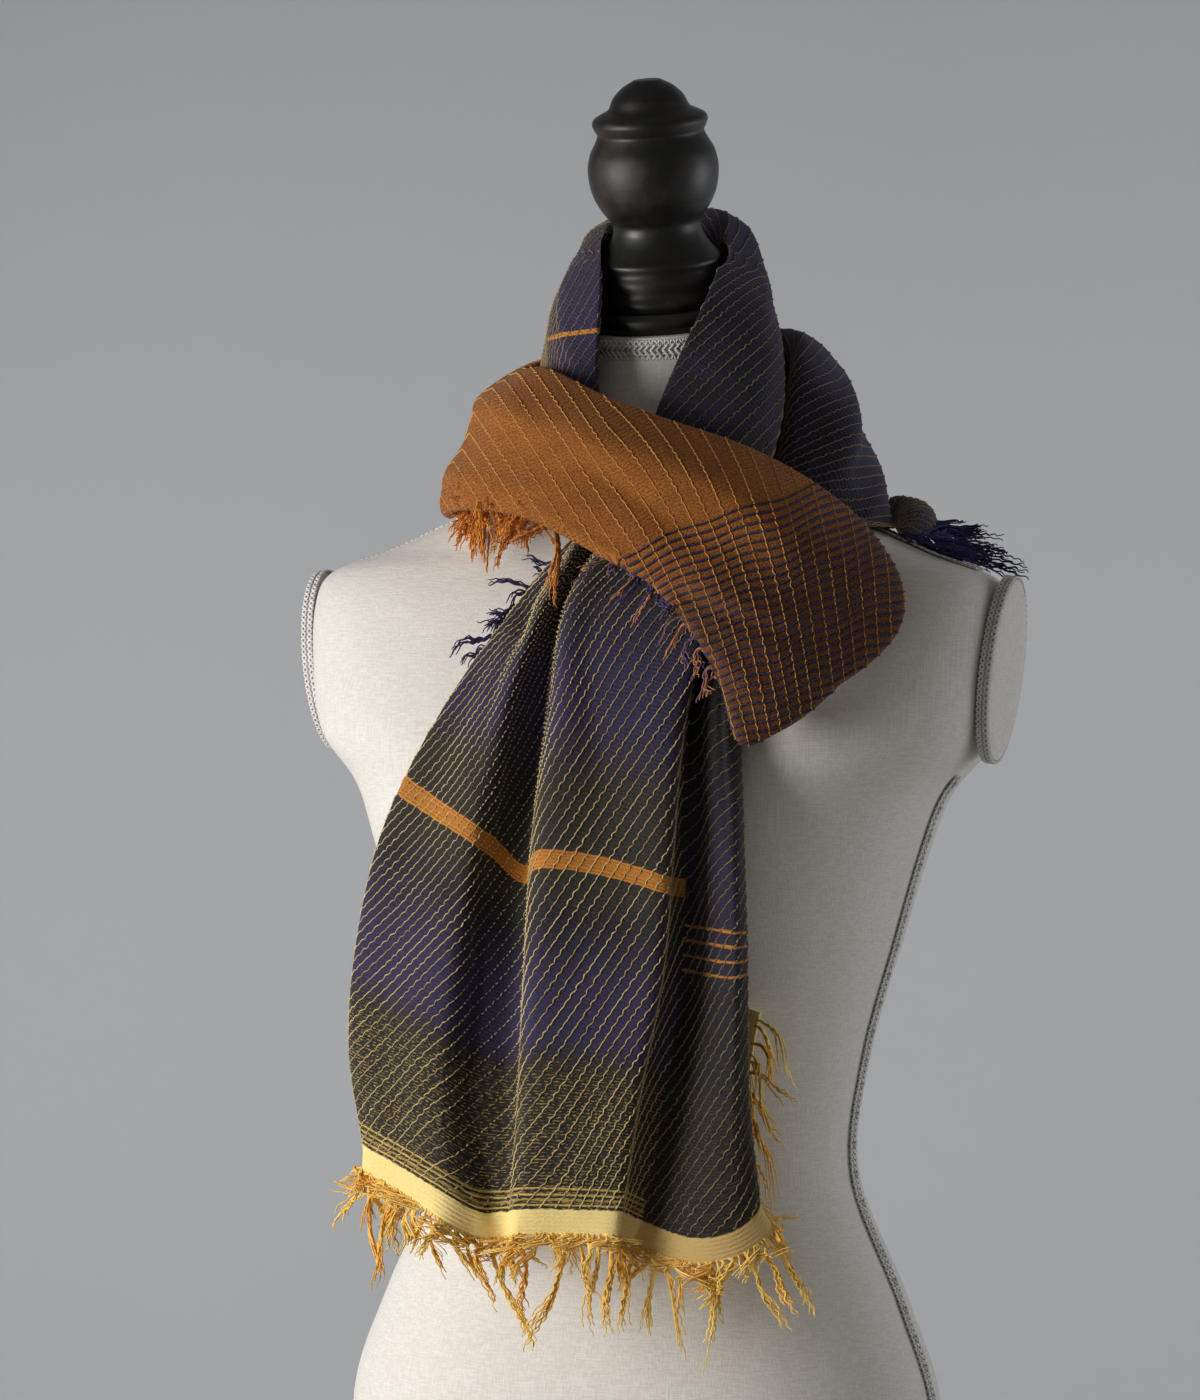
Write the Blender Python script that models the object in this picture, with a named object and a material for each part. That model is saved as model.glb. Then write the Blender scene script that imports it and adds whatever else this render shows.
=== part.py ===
"""A wool and cotton shawl wound round the neck of a table-top dress form.

Metres, +Z up. The origin is the middle of the base's underside and the form faces -Y.
Tables are in millimetres. The shawl's tables use the drape's own axes, which are the form's
axes turned about Z: x across the drape, y behind it, z up.
"""
import math
import random
from collections import namedtuple

import bmesh
import bpy
import numpy as np
from mathutils import Vector
from mathutils.bvhtree import BVHTree

MM = 0.001
TURN = math.radians(20.0)      # the drape is arranged to be seen from this far round the form
CLOTH = 2.0                    # thickness of every stretch of the shawl
SEAM = 0.3                     # gap between touching pieces
TRIM_REST = 0.6                # gap between the trim and the canvas
BACK_REST = 1.8                # gap between the canvas and the tail's other layer
BACK_GAP = 1.2                  # and between its two layers
OVER_TRIM = 3.1                # gap between the canvas and the loops, which lie on the seams' braid
TRIM_WIDTH = 12.0              # gimp braid
TRIM_THICK = 1.8
HEM_DEPTH = 14.0               # plain woven band between the cloth and its fringe

CANVAS = ("canvas", (0.78, 0.76, 0.73), 0.85)
GIMP = ("gimp", (0.86, 0.85, 0.84), 0.75)
BLACK_WOOD = ("black_wood", (0.02, 0.02, 0.018), 0.35)
SHAWL_NAVY = ("shawl_navy", (0.06, 0.05, 0.11), 0.9)
SHAWL_AMBER = ("shawl_amber", (0.50, 0.26, 0.06), 0.9)
FRINGE_GOLD = ("fringe_gold", (0.75, 0.48, 0.12), 0.9)
FRINGE_NAVY = ("fringe_navy", (0.07, 0.06, 0.12), 0.9)

# ---------------------------------------------------------------- dress form
# Sections of the form: height, half width, depth in front of and behind its axis, forward
# lean in degrees, and the power of the rounded section (2 is an ellipse).
Slice = namedtuple("Slice", "z half front back lean power")
FORM = [
    Slice(60, 150, 98, 104, 0, 2.2),
    Slice(80, 159, 105, 113, 0, 2.2),
    Slice(165, 168, 113, 122, 0, 2.2),
    Slice(230, 148, 103, 108, 0, 2.2),
    Slice(300, 119, 85, 86, 0, 2.2),
    Slice(365, 124, 99, 91, 0, 2.2),
    Slice(430, 141, 124, 100, 0, 2.3),
    Slice(480, 155, 133, 106, 0, 2.4),
    Slice(512, 167, 128, 109, 0, 2.5),
    Slice(540, 188, 119, 108, 0, 2.8),
    Slice(575, 196, 105, 105, 0, 2.9),
    Slice(610, 199, 88, 94, 0, 2.9),
    Slice(630, 192, 75, 84, 0, 2.7),
    Slice(643, 158, 67, 76, 0, 2.4),
    Slice(660, 120, 62, 68, 1, 2.2),
    Slice(676, 84, 59, 61, 3, 2.1),
    Slice(696, 61, 55, 55, 7, 2.0),
    Slice(728, 52, 51, 52, 11, 2.0),
    Slice(750, 50, 49, 50, 14, 2.0),
    Slice(772, 50, 49, 50, 15, 2.0),
]
FORM_ROWS = 28
FORM_SIDES = 40

NECK_TOP = Vector((0, 0, 772))
NECK_LEAN = math.radians(15.0)
# Turned profiles are (height, radius) down the outside, from the top.
CAP = [(11, 0), (11, 44), (8, 47), (3, 47), (0, 44), (0, 0)]
FINIAL = [
    (137, 0), (135.7, 7.5), (132, 14.5), (126.5, 20), (120, 22.5), (118, 27), (115.5, 31.5), (112.5, 32.5), (109, 31),
    (106.5, 29.5), (103, 31), (96, 35), (88, 36.6), (80, 36.2), (72, 34.3), (64, 30), (57, 24.5),
    (52, 24.5), (46, 27), (40, 31.5), (36, 36), (31, 34.5), (26, 37), (20, 36.5), (15, 39), (11.3, 38), (11.3, 0),
]
COLUMN = [(0, 0), (0, 19), (-10, 19), (-14, 24), (-37.4, 24), (-37.4, 0)]     # below the torso
BASE = [(22, 0), (22, 30), (19, 62), (14, 96), (10, 104), (5, 106), (0, 104), (0, 0)]
TURNED_SIDES = 24
TORSO_FOOT = 60.0
DEEPEST = 40.0                          # no point of the cloth is drawn further inside the form than this,
NECK_DEEPEST = 8.0                      # nor at the neck
INSIDE = 0.8                            # cosine that tells a point inside a body from one beside its edge
SEAM_FOOT, SEAM_TOP = 62.0, 525.0        # the side seams' braid

PLATE_MIDDLE = (202.4, 580.0)           # x and z of the right arm plate's outer face
PLATE_HALF_DEPTH = 33.0
PLATE_HALF_HEIGHT = 50.0
PLATE_LEAN = math.radians(6.0)          # top further out than the bottom
PLATE_THICK = 5.0
RIM_WIDTH = 7.5                         # braid round the plate's rim

# ---------------------------------------------------------------- shawl
# A band of the shawl that goes round the neck is a row of sections. Each runs from its crest,
# over its belly, to its foot; the cloth's edge turns in behind the crest and under the foot.
Section = namedtuple("Section", "crest belly foot flap")
COLLAR = [      # tall inner loop: from under the left strand, round the back, down at the right
    Section((-33, -82, 703), (-48, -88, 694), (-54, -78, 668), 0.2),
    Section((-38, -66, 735), (-55, -58, 731), (-57, -50, 692), 0.2),
    Section((-39, -58, 760), (-62, -33, 757), (-60, -28, 706), 0.2),
    Section((-38, -46, 785), (-60, -10, 782), (-63, -5, 715), 0.1),
    Section((-36, -12, 815), (-48, 14, 804), (-60, 22, 725), 0.1),
    Section((-28, 32, 834), (-40, 46, 812), (-47, 54, 732), 0.8),
    Section((6, 48, 840), (6, 62, 814), (6, 72, 740), 0.8),
    Section((33, 30, 838), (46, 36, 820), (56, 46, 740), 0.7),
    Section((35, -8, 814), (59, 4, 792), (60, 8, 730), 0.1),
    Section((26, -54, 783), (65, -22, 765), (60, -24, 715), 0.1),
    Section((13, -66, 752), (66, -48, 738), (58, -50, 695), 0.2),
    Section((1, -78, 722), (60, -74, 706), (52, -72, 675), 0.2),
    Section((-6, -90, 700), (50, -90, 684), (44, -86, 660), 0.2),
]
SHOULDER = [    # outer loop: from under the right end of the front wrap, over the shoulder, round the back
    Section((64, -66, 674), (92, -70, 652), (102, -60, 632), 0.1),
    Section((73, -50, 706), (107, -54, 676), (122, -46, 646), 0.15),
    Section((78, -28, 742), (111, -28, 702), (124, -24, 660), 0.2),
    Section((80, 8, 764), (103, 18, 732), (114, 18, 678), 0.3),
    Section((70, 56, 772), (94, 68, 742), (102, 72, 692), 0.5),
    Section((36, 88, 776), (48, 108, 742), (48, 112, 692), 0.6),
    Section((-10, 96, 772), (-12, 118, 738), (-12, 120, 690), 0.6),
    Section((-49, 82, 760), (-70, 101, 725), (-70, 101, 687), 0.6),
]
WRAP = [        # front wrap: from behind the neck at the left, across the chest to its folded right end
    Section((-50.0, 80.9, 760), (-71.0, 99.9, 725), (-71.0, 99.9, 687), 0.6),
    Section((-73, 38, 749), (-102, 47, 712), (-108, 48, 665), 0.5),
    Section((-79, -12, 741), (-107, -18, 703), (-120, -22, 663), 0.2),
    Section((-66, -62, 738), (-91, -84, 696), (-106, -84, 664), 0.1),
    Section((-35, -96, 722), (-54, -124, 682), (-72, -122, 658), 0.1),
    Section((-4, -110, 710), (-10, -146, 664), (-30, -146, 637), 0.1),
    Section((36, -114, 697), (30, -158, 642), (-2, -158, 621), 0.1),
    Section((66, -108, 684), (62, -164, 620), (20, -170, 597), 0.1),
    Section((90, -102, 670), (94, -156, 600), (36, -174, 569), 0.2),
    Section((108, -98, 656), (122, -140, 598), (47, -172, 541), 0.3),
    Section((108, -90, 650), (110, -133, 600), (62, -154, 552), 0.2),
    Section((90, -86, 650), (88, -134, 606), (58, -148, 562), 0.2),
]

# The hanging end: its fold lines, each with its x and how proud it stands at the sheet's
# heights, and the height of the hem below it.
Fold = namedtuple("Fold", "name x proud hem")
Hang = namedtuple("Hang", "heights depths")
TAIL_HANG = Hang((650, 612, 560, 500, 440, 380, 330), (-98, -112, -134, -152, -154, -153, -150))
BACK_HANG = Hang((560, 515, 465, 410, 345), (-96, -100, -100, -92, -94))
TAIL_SLANT = -0.20              # it hangs square to the form's front
TAIL_MIDDLE = -50.0
TAIL = [
    Fold("left flap", (-30, -44, -80, -112, -128, -132, -126), (-32, -32, -34, -36, -38, -38, -36), 320),
    Fold("left edge", (-46, -76, -113, -144, -159, -163, -155), (-12, -12, -12, -12, -14, -16, -16), 321),
    Fold("left face", (-44, -72, -102, -124, -138, -142, -137), (-4, -4, -4, -3, -2, -2, -4), 312),
    Fold("left ridge", (-40, -64, -86, -98, -109, -115, -112), (2, 4, 8, 9, 9, 8, 7), 299),
    Fold("left fall", (-34, -57, -72, -84, -92, -97, -92), (-3, -3, -3, -4, -4, -2, 0), 288),
    Fold("under ridge", (-30, -52, -62, -70, -74, -77, -78), (-6, -7, -8, -10, -10, -8, -4), 288),
    Fold("middle ridge", (-26, -49, -54, -61, -64, -66, -70), (7, 8, 9, 10, 10, 9, 8), 291),
    Fold("middle face", (-6, -22, -28, -30, -33, -38, -42), (6, 7, 8, 8, 8, 8, 7), 292),
    Fold("right ridge", (16, 20, 8, 4, 0, -11, -18), (6, 8, 9, 9, 9, 9, 8), 292),
    Fold("ridge's back", (18, 22, 14, 9, 5, -6, -14), (-2, -4, -8, -10, -10, -8, -5), 290),
    Fold("gully", (22, 24, 19, 17, 16, 8, -2), (-10, -14, -20, -24, -24, -20, -14), 284),
    Fold("lip", (30, 27, 25, 28, 31, 28, 22), (-6, -4, -5, -7, -8, -7, -6), 278),
    Fold("right face", (38, 36, 34, 38, 41, 42, 44), (-2, -1, -1, -2, -4, -5, -6), 283),
    Fold("right edge", (46, 44, 43, 45, 48, 50, 57), (-12, -12, -12, -13, -14, -15, -15), 297),
    Fold("right flap", (38, 36, 34, 34, 36, 36, 40), (-26, -28, -30, -30, -32, -32, -30), 312),
]
TAIL_BACK = [   # the end's other layer, its corner turned up behind the right edge
    Fold("left edge", (-62, -96, -112, -116, -112), (0, 0, 0, 0, 0), 322),
    Fold("left fold", (-40, -62, -74, -78, -76), (0, 3, 5, 5, 4), 310),
    Fold("middle", (-14, -24, -30, -30, -28), (0, -2, -3, -3, -2), 305),
    Fold("right fold", (8, 8, 8, 10, 14), (0, 2, 3, 4, 3), 312),
    Fold("turn", (18, 22, 26, 31, 35), (0, 0, 0, 2, 2), 346),
    Fold("corner", (24, 29, 34, 40, 45), (0, 2, 4, 5, 6), 398),
]

# A small fold of the shawl that is tucked beside the right shoulder: its line and its radius.
Bead = namedtuple("Bead", "middle radius")
TUCK = [
    Bead((136, -46, 652), 7), Bead((141, -30, 658), 9), Bead((142, -8, 664), 9), Bead((134, 12, 669), 7),
]
TUCK_ARC = (230, 170, 120, 75, 35, 0)   # degrees round it, from its underside to its outer side

# Edge roll of a band: how far the cloth turns in behind its crest and under its foot.
Roll = namedtuple("Roll", "radius flap under")
COLLAR_ROLL = Roll(11, 26, 6)
OUTER_ROLL = Roll(12, 25, 9)


# ---------------------------------------------------------------- mathematics
def spline(points, at):
    """Catmull-Rom curve through an array's rows, read at parameters from 0 to 1."""
    points = np.asarray(points, float)
    count = len(points)
    ends = np.concatenate([2 * points[:1] - points[1:2], points, 2 * points[-1:] - points[-2:-1]])
    place = np.clip(np.asarray(at, float), 0, 1) * (count - 1)
    i = np.minimum(place.astype(int), count - 2)
    t = (place - i).reshape((-1,) + (1,) * (points.ndim - 1))
    a, b, c, d = ends[i], ends[i + 1], ends[i + 2], ends[i + 3]
    return 0.5 * (2 * b + (c - a) * t + (2 * a - 5 * b + 4 * c - d) * t**2 + (3 * b - a - 3 * c + d) * t**3)


def surface(net, along, across):
    """Grid of points (along, across) read from a net of rows and columns."""
    rows = spline(net, along)
    return np.swapaxes(spline(np.swapaxes(rows, 0, 1), across), 0, 1)


def unit(vectors):
    return vectors / (np.linalg.norm(vectors, axis=-1, keepdims=True) + 1e-9)


def normals(grid):
    return unit(np.cross(np.gradient(grid, axis=0), np.gradient(grid, axis=1)))


def form_axes(points):
    """Turns points from the drape's axes to the form's."""
    x, y, z = np.moveaxis(np.asarray(points, float), -1, 0)
    c, s = math.cos(TURN), math.sin(TURN)
    return np.stack([x * c - y * s, x * s + y * c, z], -1)


# ---------------------------------------------------------------- meshes
def material(look):
    name, colour, roughness = look
    made = bpy.data.materials.get(name)
    if made is None:
        made = bpy.data.materials.new(name)
        made.use_nodes = True
        shader = made.node_tree.nodes["Principled BSDF"]
        shader.inputs["Base Color"].default_value = (*colour, 1)
        shader.inputs["Roughness"].default_value = roughness
        made.diffuse_color = (*colour, 1)
    return made


def solid(name, points, faces, look, smooth=60):
    """One closed body from points in millimetres."""
    mesh = bpy.data.meshes.new(name)
    mesh.from_pydata([tuple(p * MM) for p in np.asarray(points, float).reshape(-1, 3)], [], faces)
    shape = bmesh.new()
    shape.from_mesh(mesh)
    bmesh.ops.remove_doubles(shape, verts=shape.verts, dist=1e-6)
    bmesh.ops.recalc_face_normals(shape, faces=shape.faces)
    shape.to_mesh(mesh)
    shape.free()
    mesh.shade_smooth()
    mesh.set_sharp_from_angle(angle=math.radians(smooth))
    mesh.materials.append(material(look))
    made = bpy.data.objects.new(name, mesh)
    bpy.context.scene.collection.objects.link(made)
    return made


def quads(rows, columns, start=0, closed=False):
    """Faces of a grid of points; closed joins the last column to the first."""
    found = []
    for r in range(rows - 1):
        for c in range(columns if closed else columns - 1):
            d = (c + 1) % columns
            found.append([start + v for v in (r * columns + c, r * columns + d,
                                              (r + 1) * columns + d, (r + 1) * columns + c)])
    return found


def wall(name, outer, inner, look):
    """A sheet of cloth as a closed wall between two grids of points."""
    rows, columns = outer.shape[:2]
    skip = rows * columns
    border = [r * columns for r in range(rows)]
    border += [(rows - 1) * columns + c for c in range(1, columns)]
    border += [r * columns + columns - 1 for r in range(rows - 2, -1, -1)]
    border += list(range(columns - 2, 0, -1))
    faces = quads(rows, columns) + [face[::-1] for face in quads(rows, columns, skip)]
    for a, b in zip(border, border[1:] + border[:1]):
        faces.append([a, b, b + skip, a + skip])
    return solid(name, np.concatenate([outer.reshape(-1, 3), inner.reshape(-1, 3)]), faces, look)


def turned(name, profile, look, foot=Vector((0, 0, 0)), lean=0.0, sides=TURNED_SIDES):
    """A body turned about an axis that leans forward from the foot."""
    rings = [(h, r) for h, r in profile if r > 0]
    points = [(r * math.cos(a), r * math.sin(a), h)
              for h, r in rings for a in np.linspace(0, 2 * math.pi, sides, endpoint=False)]
    faces = quads(len(rings), sides, closed=True)
    for height, first in ((profile[0][0], 0), (profile[-1][0], (len(rings) - 1) * sides)):
        points.append((0, 0, height))
        faces += [[first + k, first + (k + 1) % sides, len(points) - 1] for k in range(sides)]
    x, y, z = np.moveaxis(np.array(points, float), -1, 0)
    c, s = math.cos(lean), math.sin(lean)
    return solid(name, np.stack([x, y * c - z * s, y * s + z * c], -1) + np.array(foot), faces, look, 30)


# ---------------------------------------------------------------- dress form
def form_ring(slice_row, angles):
    z, half, front, back, lean, power = slice_row
    c, s = np.cos(angles), np.sin(angles)
    x = half * np.sign(c) * np.abs(c) ** (2 / power)
    y = np.where(s < 0, front, back) * np.sign(s) * np.abs(s) ** (2 / power)
    tilt = math.radians(lean)
    return np.stack([x, y * math.cos(tilt), z + y * math.sin(tilt)], -1)


def make_torso():
    angles = np.linspace(0, 2 * math.pi, FORM_SIDES, endpoint=False)
    rows = spline(FORM, np.linspace(0, 1, FORM_ROWS))
    points = np.concatenate([form_ring(row, angles) for row in rows])
    faces = quads(FORM_ROWS, FORM_SIDES, closed=True)
    last = (FORM_ROWS - 1) * FORM_SIDES
    faces += [list(range(FORM_SIDES)), list(range(last, last + FORM_SIDES))]
    return solid("torso", points, faces, CANVAS, 50)


class Ground:
    """The surface of some bodies, for trim and cloth to lie on."""

    def __init__(self, *bodies):
        corners, faces = [], []
        for body in bodies:
            skip = len(corners)
            corners += [vertex.co / MM for vertex in body.data.vertices]
            faces += [[skip + v for v in face.vertices] for face in body.data.polygons]
        self.tree = BVHTree.FromPolygons(corners, faces)

    def hit(self, start, way):
        place, normal, _, _ = self.tree.ray_cast(Vector(start), Vector(way))
        return np.array(place), np.array(normal)

    def lift(self, grid, clearance, deepest=DEEPEST):
        """Moves points that are inside, or nearer than the clearance, out to it."""
        flat = grid.reshape(-1, 3).copy()
        for k, point in enumerate(flat):
            place, normal, _, distance = self.tree.find_nearest(Vector(point))
            away = Vector(point) - place
            if distance > deepest:
                continue
            if away.dot(normal) < -INSIDE * distance:
                flat[k] = np.array(place + normal * clearance)
            elif distance < clearance:
                flat[k] = np.array(place + (away.normalized() if distance > SEAM else normal) * clearance)
        return flat.reshape(grid.shape)


def braid(name, starts, way, side, ground):
    """A flat trim on the canvas: the rays that meet it start along a line, to each side of it."""
    inner, outer = [], []
    for start in starts:
        for across in (-0.5, 0.0, 0.5):
            place, normal = ground.hit(np.array(start, float) + np.array(side) * across * TRIM_WIDTH, way)
            inner.append(place + normal * TRIM_REST)
            outer.append(place + normal * (TRIM_REST + TRIM_THICK))
    shape = (len(starts), 3, 3)
    return wall(name, np.array(outer).reshape(shape), np.array(inner).reshape(shape), GIMP)


def make_neck_braid(canvas):
    angles = np.linspace(0, 2 * math.pi, 32, endpoint=False)
    top = form_ring(FORM[-1], angles)
    axis = np.array([0, -math.sin(NECK_LEAN), math.cos(NECK_LEAN)])
    rings = []
    for height, out in ((-1, 0), (-1, TRIM_THICK), (-1 - TRIM_WIDTH, TRIM_THICK), (-1 - TRIM_WIDTH, 0)):
        rings.append(canvas.lift(top + axis * height, SEAM * 3 + out))
    count = len(angles)
    faces = quads(4, count, closed=True)
    faces += [[k, (k + 1) % count, 3 * count + (k + 1) % count, 3 * count + k] for k in range(count)]
    return solid("neck_braid", np.concatenate(rings), faces, GIMP, 40)


def plate_ring(side, depth, height, out, count=28):
    """Points round an arm plate, grown by depth and height, at a distance out from its face."""
    angles = np.linspace(0, 2 * math.pi, count, endpoint=False)
    y = (PLATE_HALF_DEPTH + depth) * np.cos(angles)
    z = (PLATE_HALF_HEIGHT + height) * np.sin(angles)
    c, s = math.cos(PLATE_LEAN), math.sin(PLATE_LEAN)
    x = PLATE_MIDDLE[0] + out * c + z * s
    return np.stack([side * x, y, PLATE_MIDDLE[1] + z * c - out * s], -1)


def make_arm_plate(side, word):
    count = 28
    rings = [plate_ring(side, 0, 0, -PLATE_THICK), plate_ring(side, 0, 0, -1), plate_ring(side, -1.5, -1.5, 0)]
    faces = quads(3, count, closed=True) + [list(range(count)), list(range(2 * count, 3 * count))]
    solid("arm_plate_" + word, np.concatenate(rings), faces, CANVAS, 30)
    edge = [plate_ring(side, SEAM, SEAM, 0), plate_ring(side, SEAM + TRIM_THICK, SEAM + TRIM_THICK, 0),
            plate_ring(side, SEAM + TRIM_THICK, SEAM + TRIM_THICK, -RIM_WIDTH),
            plate_ring(side, SEAM, SEAM, -RIM_WIDTH)]
    faces = quads(4, count, closed=True)
    faces += [[k, (k + 1) % count, 3 * count + (k + 1) % count, 3 * count + k] for k in range(count)]
    solid("arm_braid_" + word, np.concatenate(edge), faces, GIMP, 30)


def make_form():
    torso = make_torso()
    canvas = Ground(torso)
    neck = [make_neck_braid(canvas),
            turned("neck_cap", CAP, BLACK_WOOD, NECK_TOP + Vector((0, 0, SEAM)), NECK_LEAN),
            turned("finial", FINIAL, BLACK_WOOD, NECK_TOP + Vector((0, 0, SEAM)), NECK_LEAN)]
    turned("column", COLUMN, BLACK_WOOD, Vector((0, 0, TORSO_FOOT - SEAM)))
    turned("base", BASE, BLACK_WOOD)
    heights = [row[0] for row in spline(FORM, np.linspace(0, 1, FORM_ROWS)) if SEAM_FOOT < row[0] < SEAM_TOP]
    for side, word in ((-1, "left"), (1, "right")):
        make_arm_plate(side, word)
        seam = [(side * 300, 0, z) for z in [SEAM_FOOT] + heights]
        braid("side_braid_" + word, seam, (-side, 0, 0), (0, 1, 0), canvas)
        shoulder = [(side * x, 0, 800) for x in np.linspace(66, 186, 13)]
        braid("shoulder_braid_" + word, shoulder, (0, 0, -1), (0, 1, 0), canvas)
    return canvas, Ground(torso, *neck)


# ---------------------------------------------------------------- shawl
def band_net(sections, roll):
    """Rows of eight points: flap, turn, crest, shoulder, belly, low, foot, under."""
    net = []
    for section in sections:
        crest, belly, foot = (np.array(p, float) for p in section[:3])
        out = unit(np.array([belly[0], belly[1], 0.0]))
        up = np.array([0, 0, 1.0])
        swell = np.linalg.norm(belly - crest)
        turn = roll.radius * (0.15 + 0.85 * section.flap)
        drop = np.linalg.norm(belly - foot)
        net.append([
            crest - out * turn * 1.1 - up * roll.flap * (0.3 + 0.7 * section.flap),
            crest - out * turn - up * turn * 0.9,
            crest,
            crest * 0.45 + belly * 0.55 + out * 0.18 * swell + up * 3,
            belly,
            belly * 0.42 + foot * 0.58 + out * 0.10 * drop,
            foot,
            foot - out * roll.under + up * 3,
        ])
    return np.array(net)


def hanging_net(folds, hang):
    """Rows down a hanging sheet, columns across its folds."""
    net = []
    last = len(hang.heights) - 1
    for fold in folds:
        line = []
        for k, height in enumerate(hang.heights):
            share = (k / last) ** 1.5
            depth = hang.depths[k] - fold.proud[k] + TAIL_SLANT * (fold.x[k] - TAIL_MIDDLE)
            line.append((fold.x[k], depth, height + (fold.hem - hang.heights[-1]) * share))
        net.append(line)
    return np.swapaxes(np.array(net, float), 0, 1)


def tuck_net():
    """Rows along the tucked fold, columns round it."""
    middles = np.array([bead.middle for bead in TUCK], float)
    along = unit(np.gradient(middles, axis=0))
    up = np.array([0, 0, 1.0])
    net = []
    for bead, middle, way in zip(TUCK, middles, along):
        out = unit(np.cross(up, way))
        out = out if out[0] > 0 else -out
        net.append([middle + bead.radius * (out * math.cos(a) + up * math.sin(a)) for a in np.radians(TUCK_ARC)])
    return np.array(net)


def cloth(name, net, size, look, ground, clearance=OVER_TRIM, side=1, deepest=DEEPEST):
    """A stretch of the shawl, as the wall inside a net of points; gives its outer and inner grids."""
    grid = form_axes(surface(net, np.linspace(0, 1, size[0]), np.linspace(0, 1, size[1])))
    inner = ground.lift(grid - side * normals(grid) * CLOTH, clearance, deepest)
    outer = ground.lift(grid, clearance + CLOTH, deepest)
    wall(name, outer, inner, look)
    return outer, inner


# Fringe: how deep its backing is, how long and how unruly its locks are, and where they fall to.
Fringe = namedtuple("Fringe", "depth shortest longest unruly fall seed")
HEM_FRINGE = Fringe(HEM_DEPTH, 26, 52, 0.45, (0, 0, -1), 3)
BACK_FRINGE = Fringe(HEM_DEPTH, 24, 40, 0.5, (0.25, 0, -1), 5)
AMBER_FRINGE = Fringe(4, 26, 46, 0.5, (-0.5, -0.35, -1), 7)
MIXED_FRINGE = Fringe(4, 16, 28, 0.6, (0, -0.5, -1), 9)
SIDE_FRINGE = Fringe(3, 18, 34, 0.7, (-0.8, 0, -0.45), 11)
SHOULDER_FRINGE = Fringe(4, 34, 62, 0.35, (1, 0.1, -0.35), 13)
LOCK_RINGS = (0.30, 0.65, 1.0)          # shares of a lock's length
LOCK_WIDTHS = (0.62, 0.42, 0.2)         # shares of its root's width there
LOCK_THICK = (1.5, 1.1, 0.7)


def fringe(name, outer, inner, away, kind, look, ground, skip=0, clearance=1.6):
    """A strip that carries on from a cloth's edge, with a lock grown from each cell of its far side.

    outer and inner are the edge's points, away is the way on from them, and every skip-th cell stays bare.
    """
    dice = random.Random(kind.seed)
    line = unit(np.gradient(outer, axis=0))
    away = unit(away - line * (away * line).sum(-1, keepdims=True))
    count = len(outer)
    fall = unit(form_axes(np.array(kind.fall, float)))
    points = [edge + away * far for edge in (outer, inner) for far in (SEAM * 1.8, kind.depth)]
    points = [ground.lift(row, clearance) for row in points]
    o_top, o_low, i_top, i_low = (k * count for k in range(4))
    faces = []
    for k in range(count - 1):
        faces.append([o_top + k, o_top + k + 1, o_low + k + 1, o_low + k])
        faces.append([i_top + k + 1, i_top + k, i_low + k, i_low + k + 1])
        faces.append([o_top + k + 1, o_top + k, i_top + k, i_top + k + 1])
    for k in (0, count - 1):
        faces.append([o_top + k, o_low + k, i_low + k, i_top + k])
    rows = np.concatenate(points)
    extra = []
    for k in range(count - 1):
        root = [o_low + k, o_low + k + 1, i_low + k + 1, i_low + k]
        corners = rows[root]
        width = unit(corners[1] - corners[0])
        span = np.linalg.norm(corners[1] - corners[0])
        thick = unit(corners[0] - corners[3])
        place = corners.mean(0)
        length = dice.uniform(kind.shortest, kind.longest)
        lean = kind.unruly * (0.6 * math.sin(0.9 * k + kind.seed) + 0.4 * dice.uniform(-1, 1))
        stand = kind.unruly * (0.35 if k % 2 else -0.15) * dice.uniform(0.5, 1)
        if skip and k % skip == skip - 1:
            faces.append(root)
            continue
        before = 0.0
        for share, broad, deep in zip(LOCK_RINGS, LOCK_WIDTHS, LOCK_THICK):
            way = unit(away[k] * (1 - share) + fall * (share + 0.2) + width * lean * math.sin(4 * share)
                       + thick * stand * math.sin(3 * share + 0.5))
            place = ground.lift(place + way * length * (share - before), clearance + deep)
            before = share
            half = max(span * broad, 1.6) * 0.5
            ring = [place - width * half + thick * deep * 0.5, place + width * half + thick * deep * 0.5,
                    place + width * half - thick * deep * 0.5, place - width * half - thick * deep * 0.5]
            first = len(rows) + len(extra)
            extra += ring
            faces += [[root[j], root[(j + 1) % 4], first + (j + 1) % 4, first + j] for j in range(4)]
            root = [first + j for j in range(4)]
        faces.append(root)
    return solid(name, np.concatenate([rows, np.array(extra)]), faces, look, 40)


def make_shawl(canvas, ground):
    cloth("collar_wrap", band_net(COLLAR, COLLAR_ROLL), (31, 12), SHAWL_NAVY, ground, deepest=NECK_DEEPEST)
    cloth("shoulder_wrap", band_net(SHOULDER, OUTER_ROLL), (22, 12), SHAWL_NAVY, canvas)
    make_tuck(canvas)
    make_front_wrap(canvas)
    make_tail(canvas)


def make_tuck(canvas):
    outer, inner = cloth("tucked_fold", tuck_net(), (9, 9), SHAWL_NAVY, canvas, side=-1)
    away = unit(outer[:, -1] - outer[:, -2])
    fringe("shoulder_fringe", outer[:, -1], inner[:, -1], away, SHOULDER_FRINGE, FRINGE_NAVY, canvas,
           clearance=OVER_TRIM)


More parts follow.
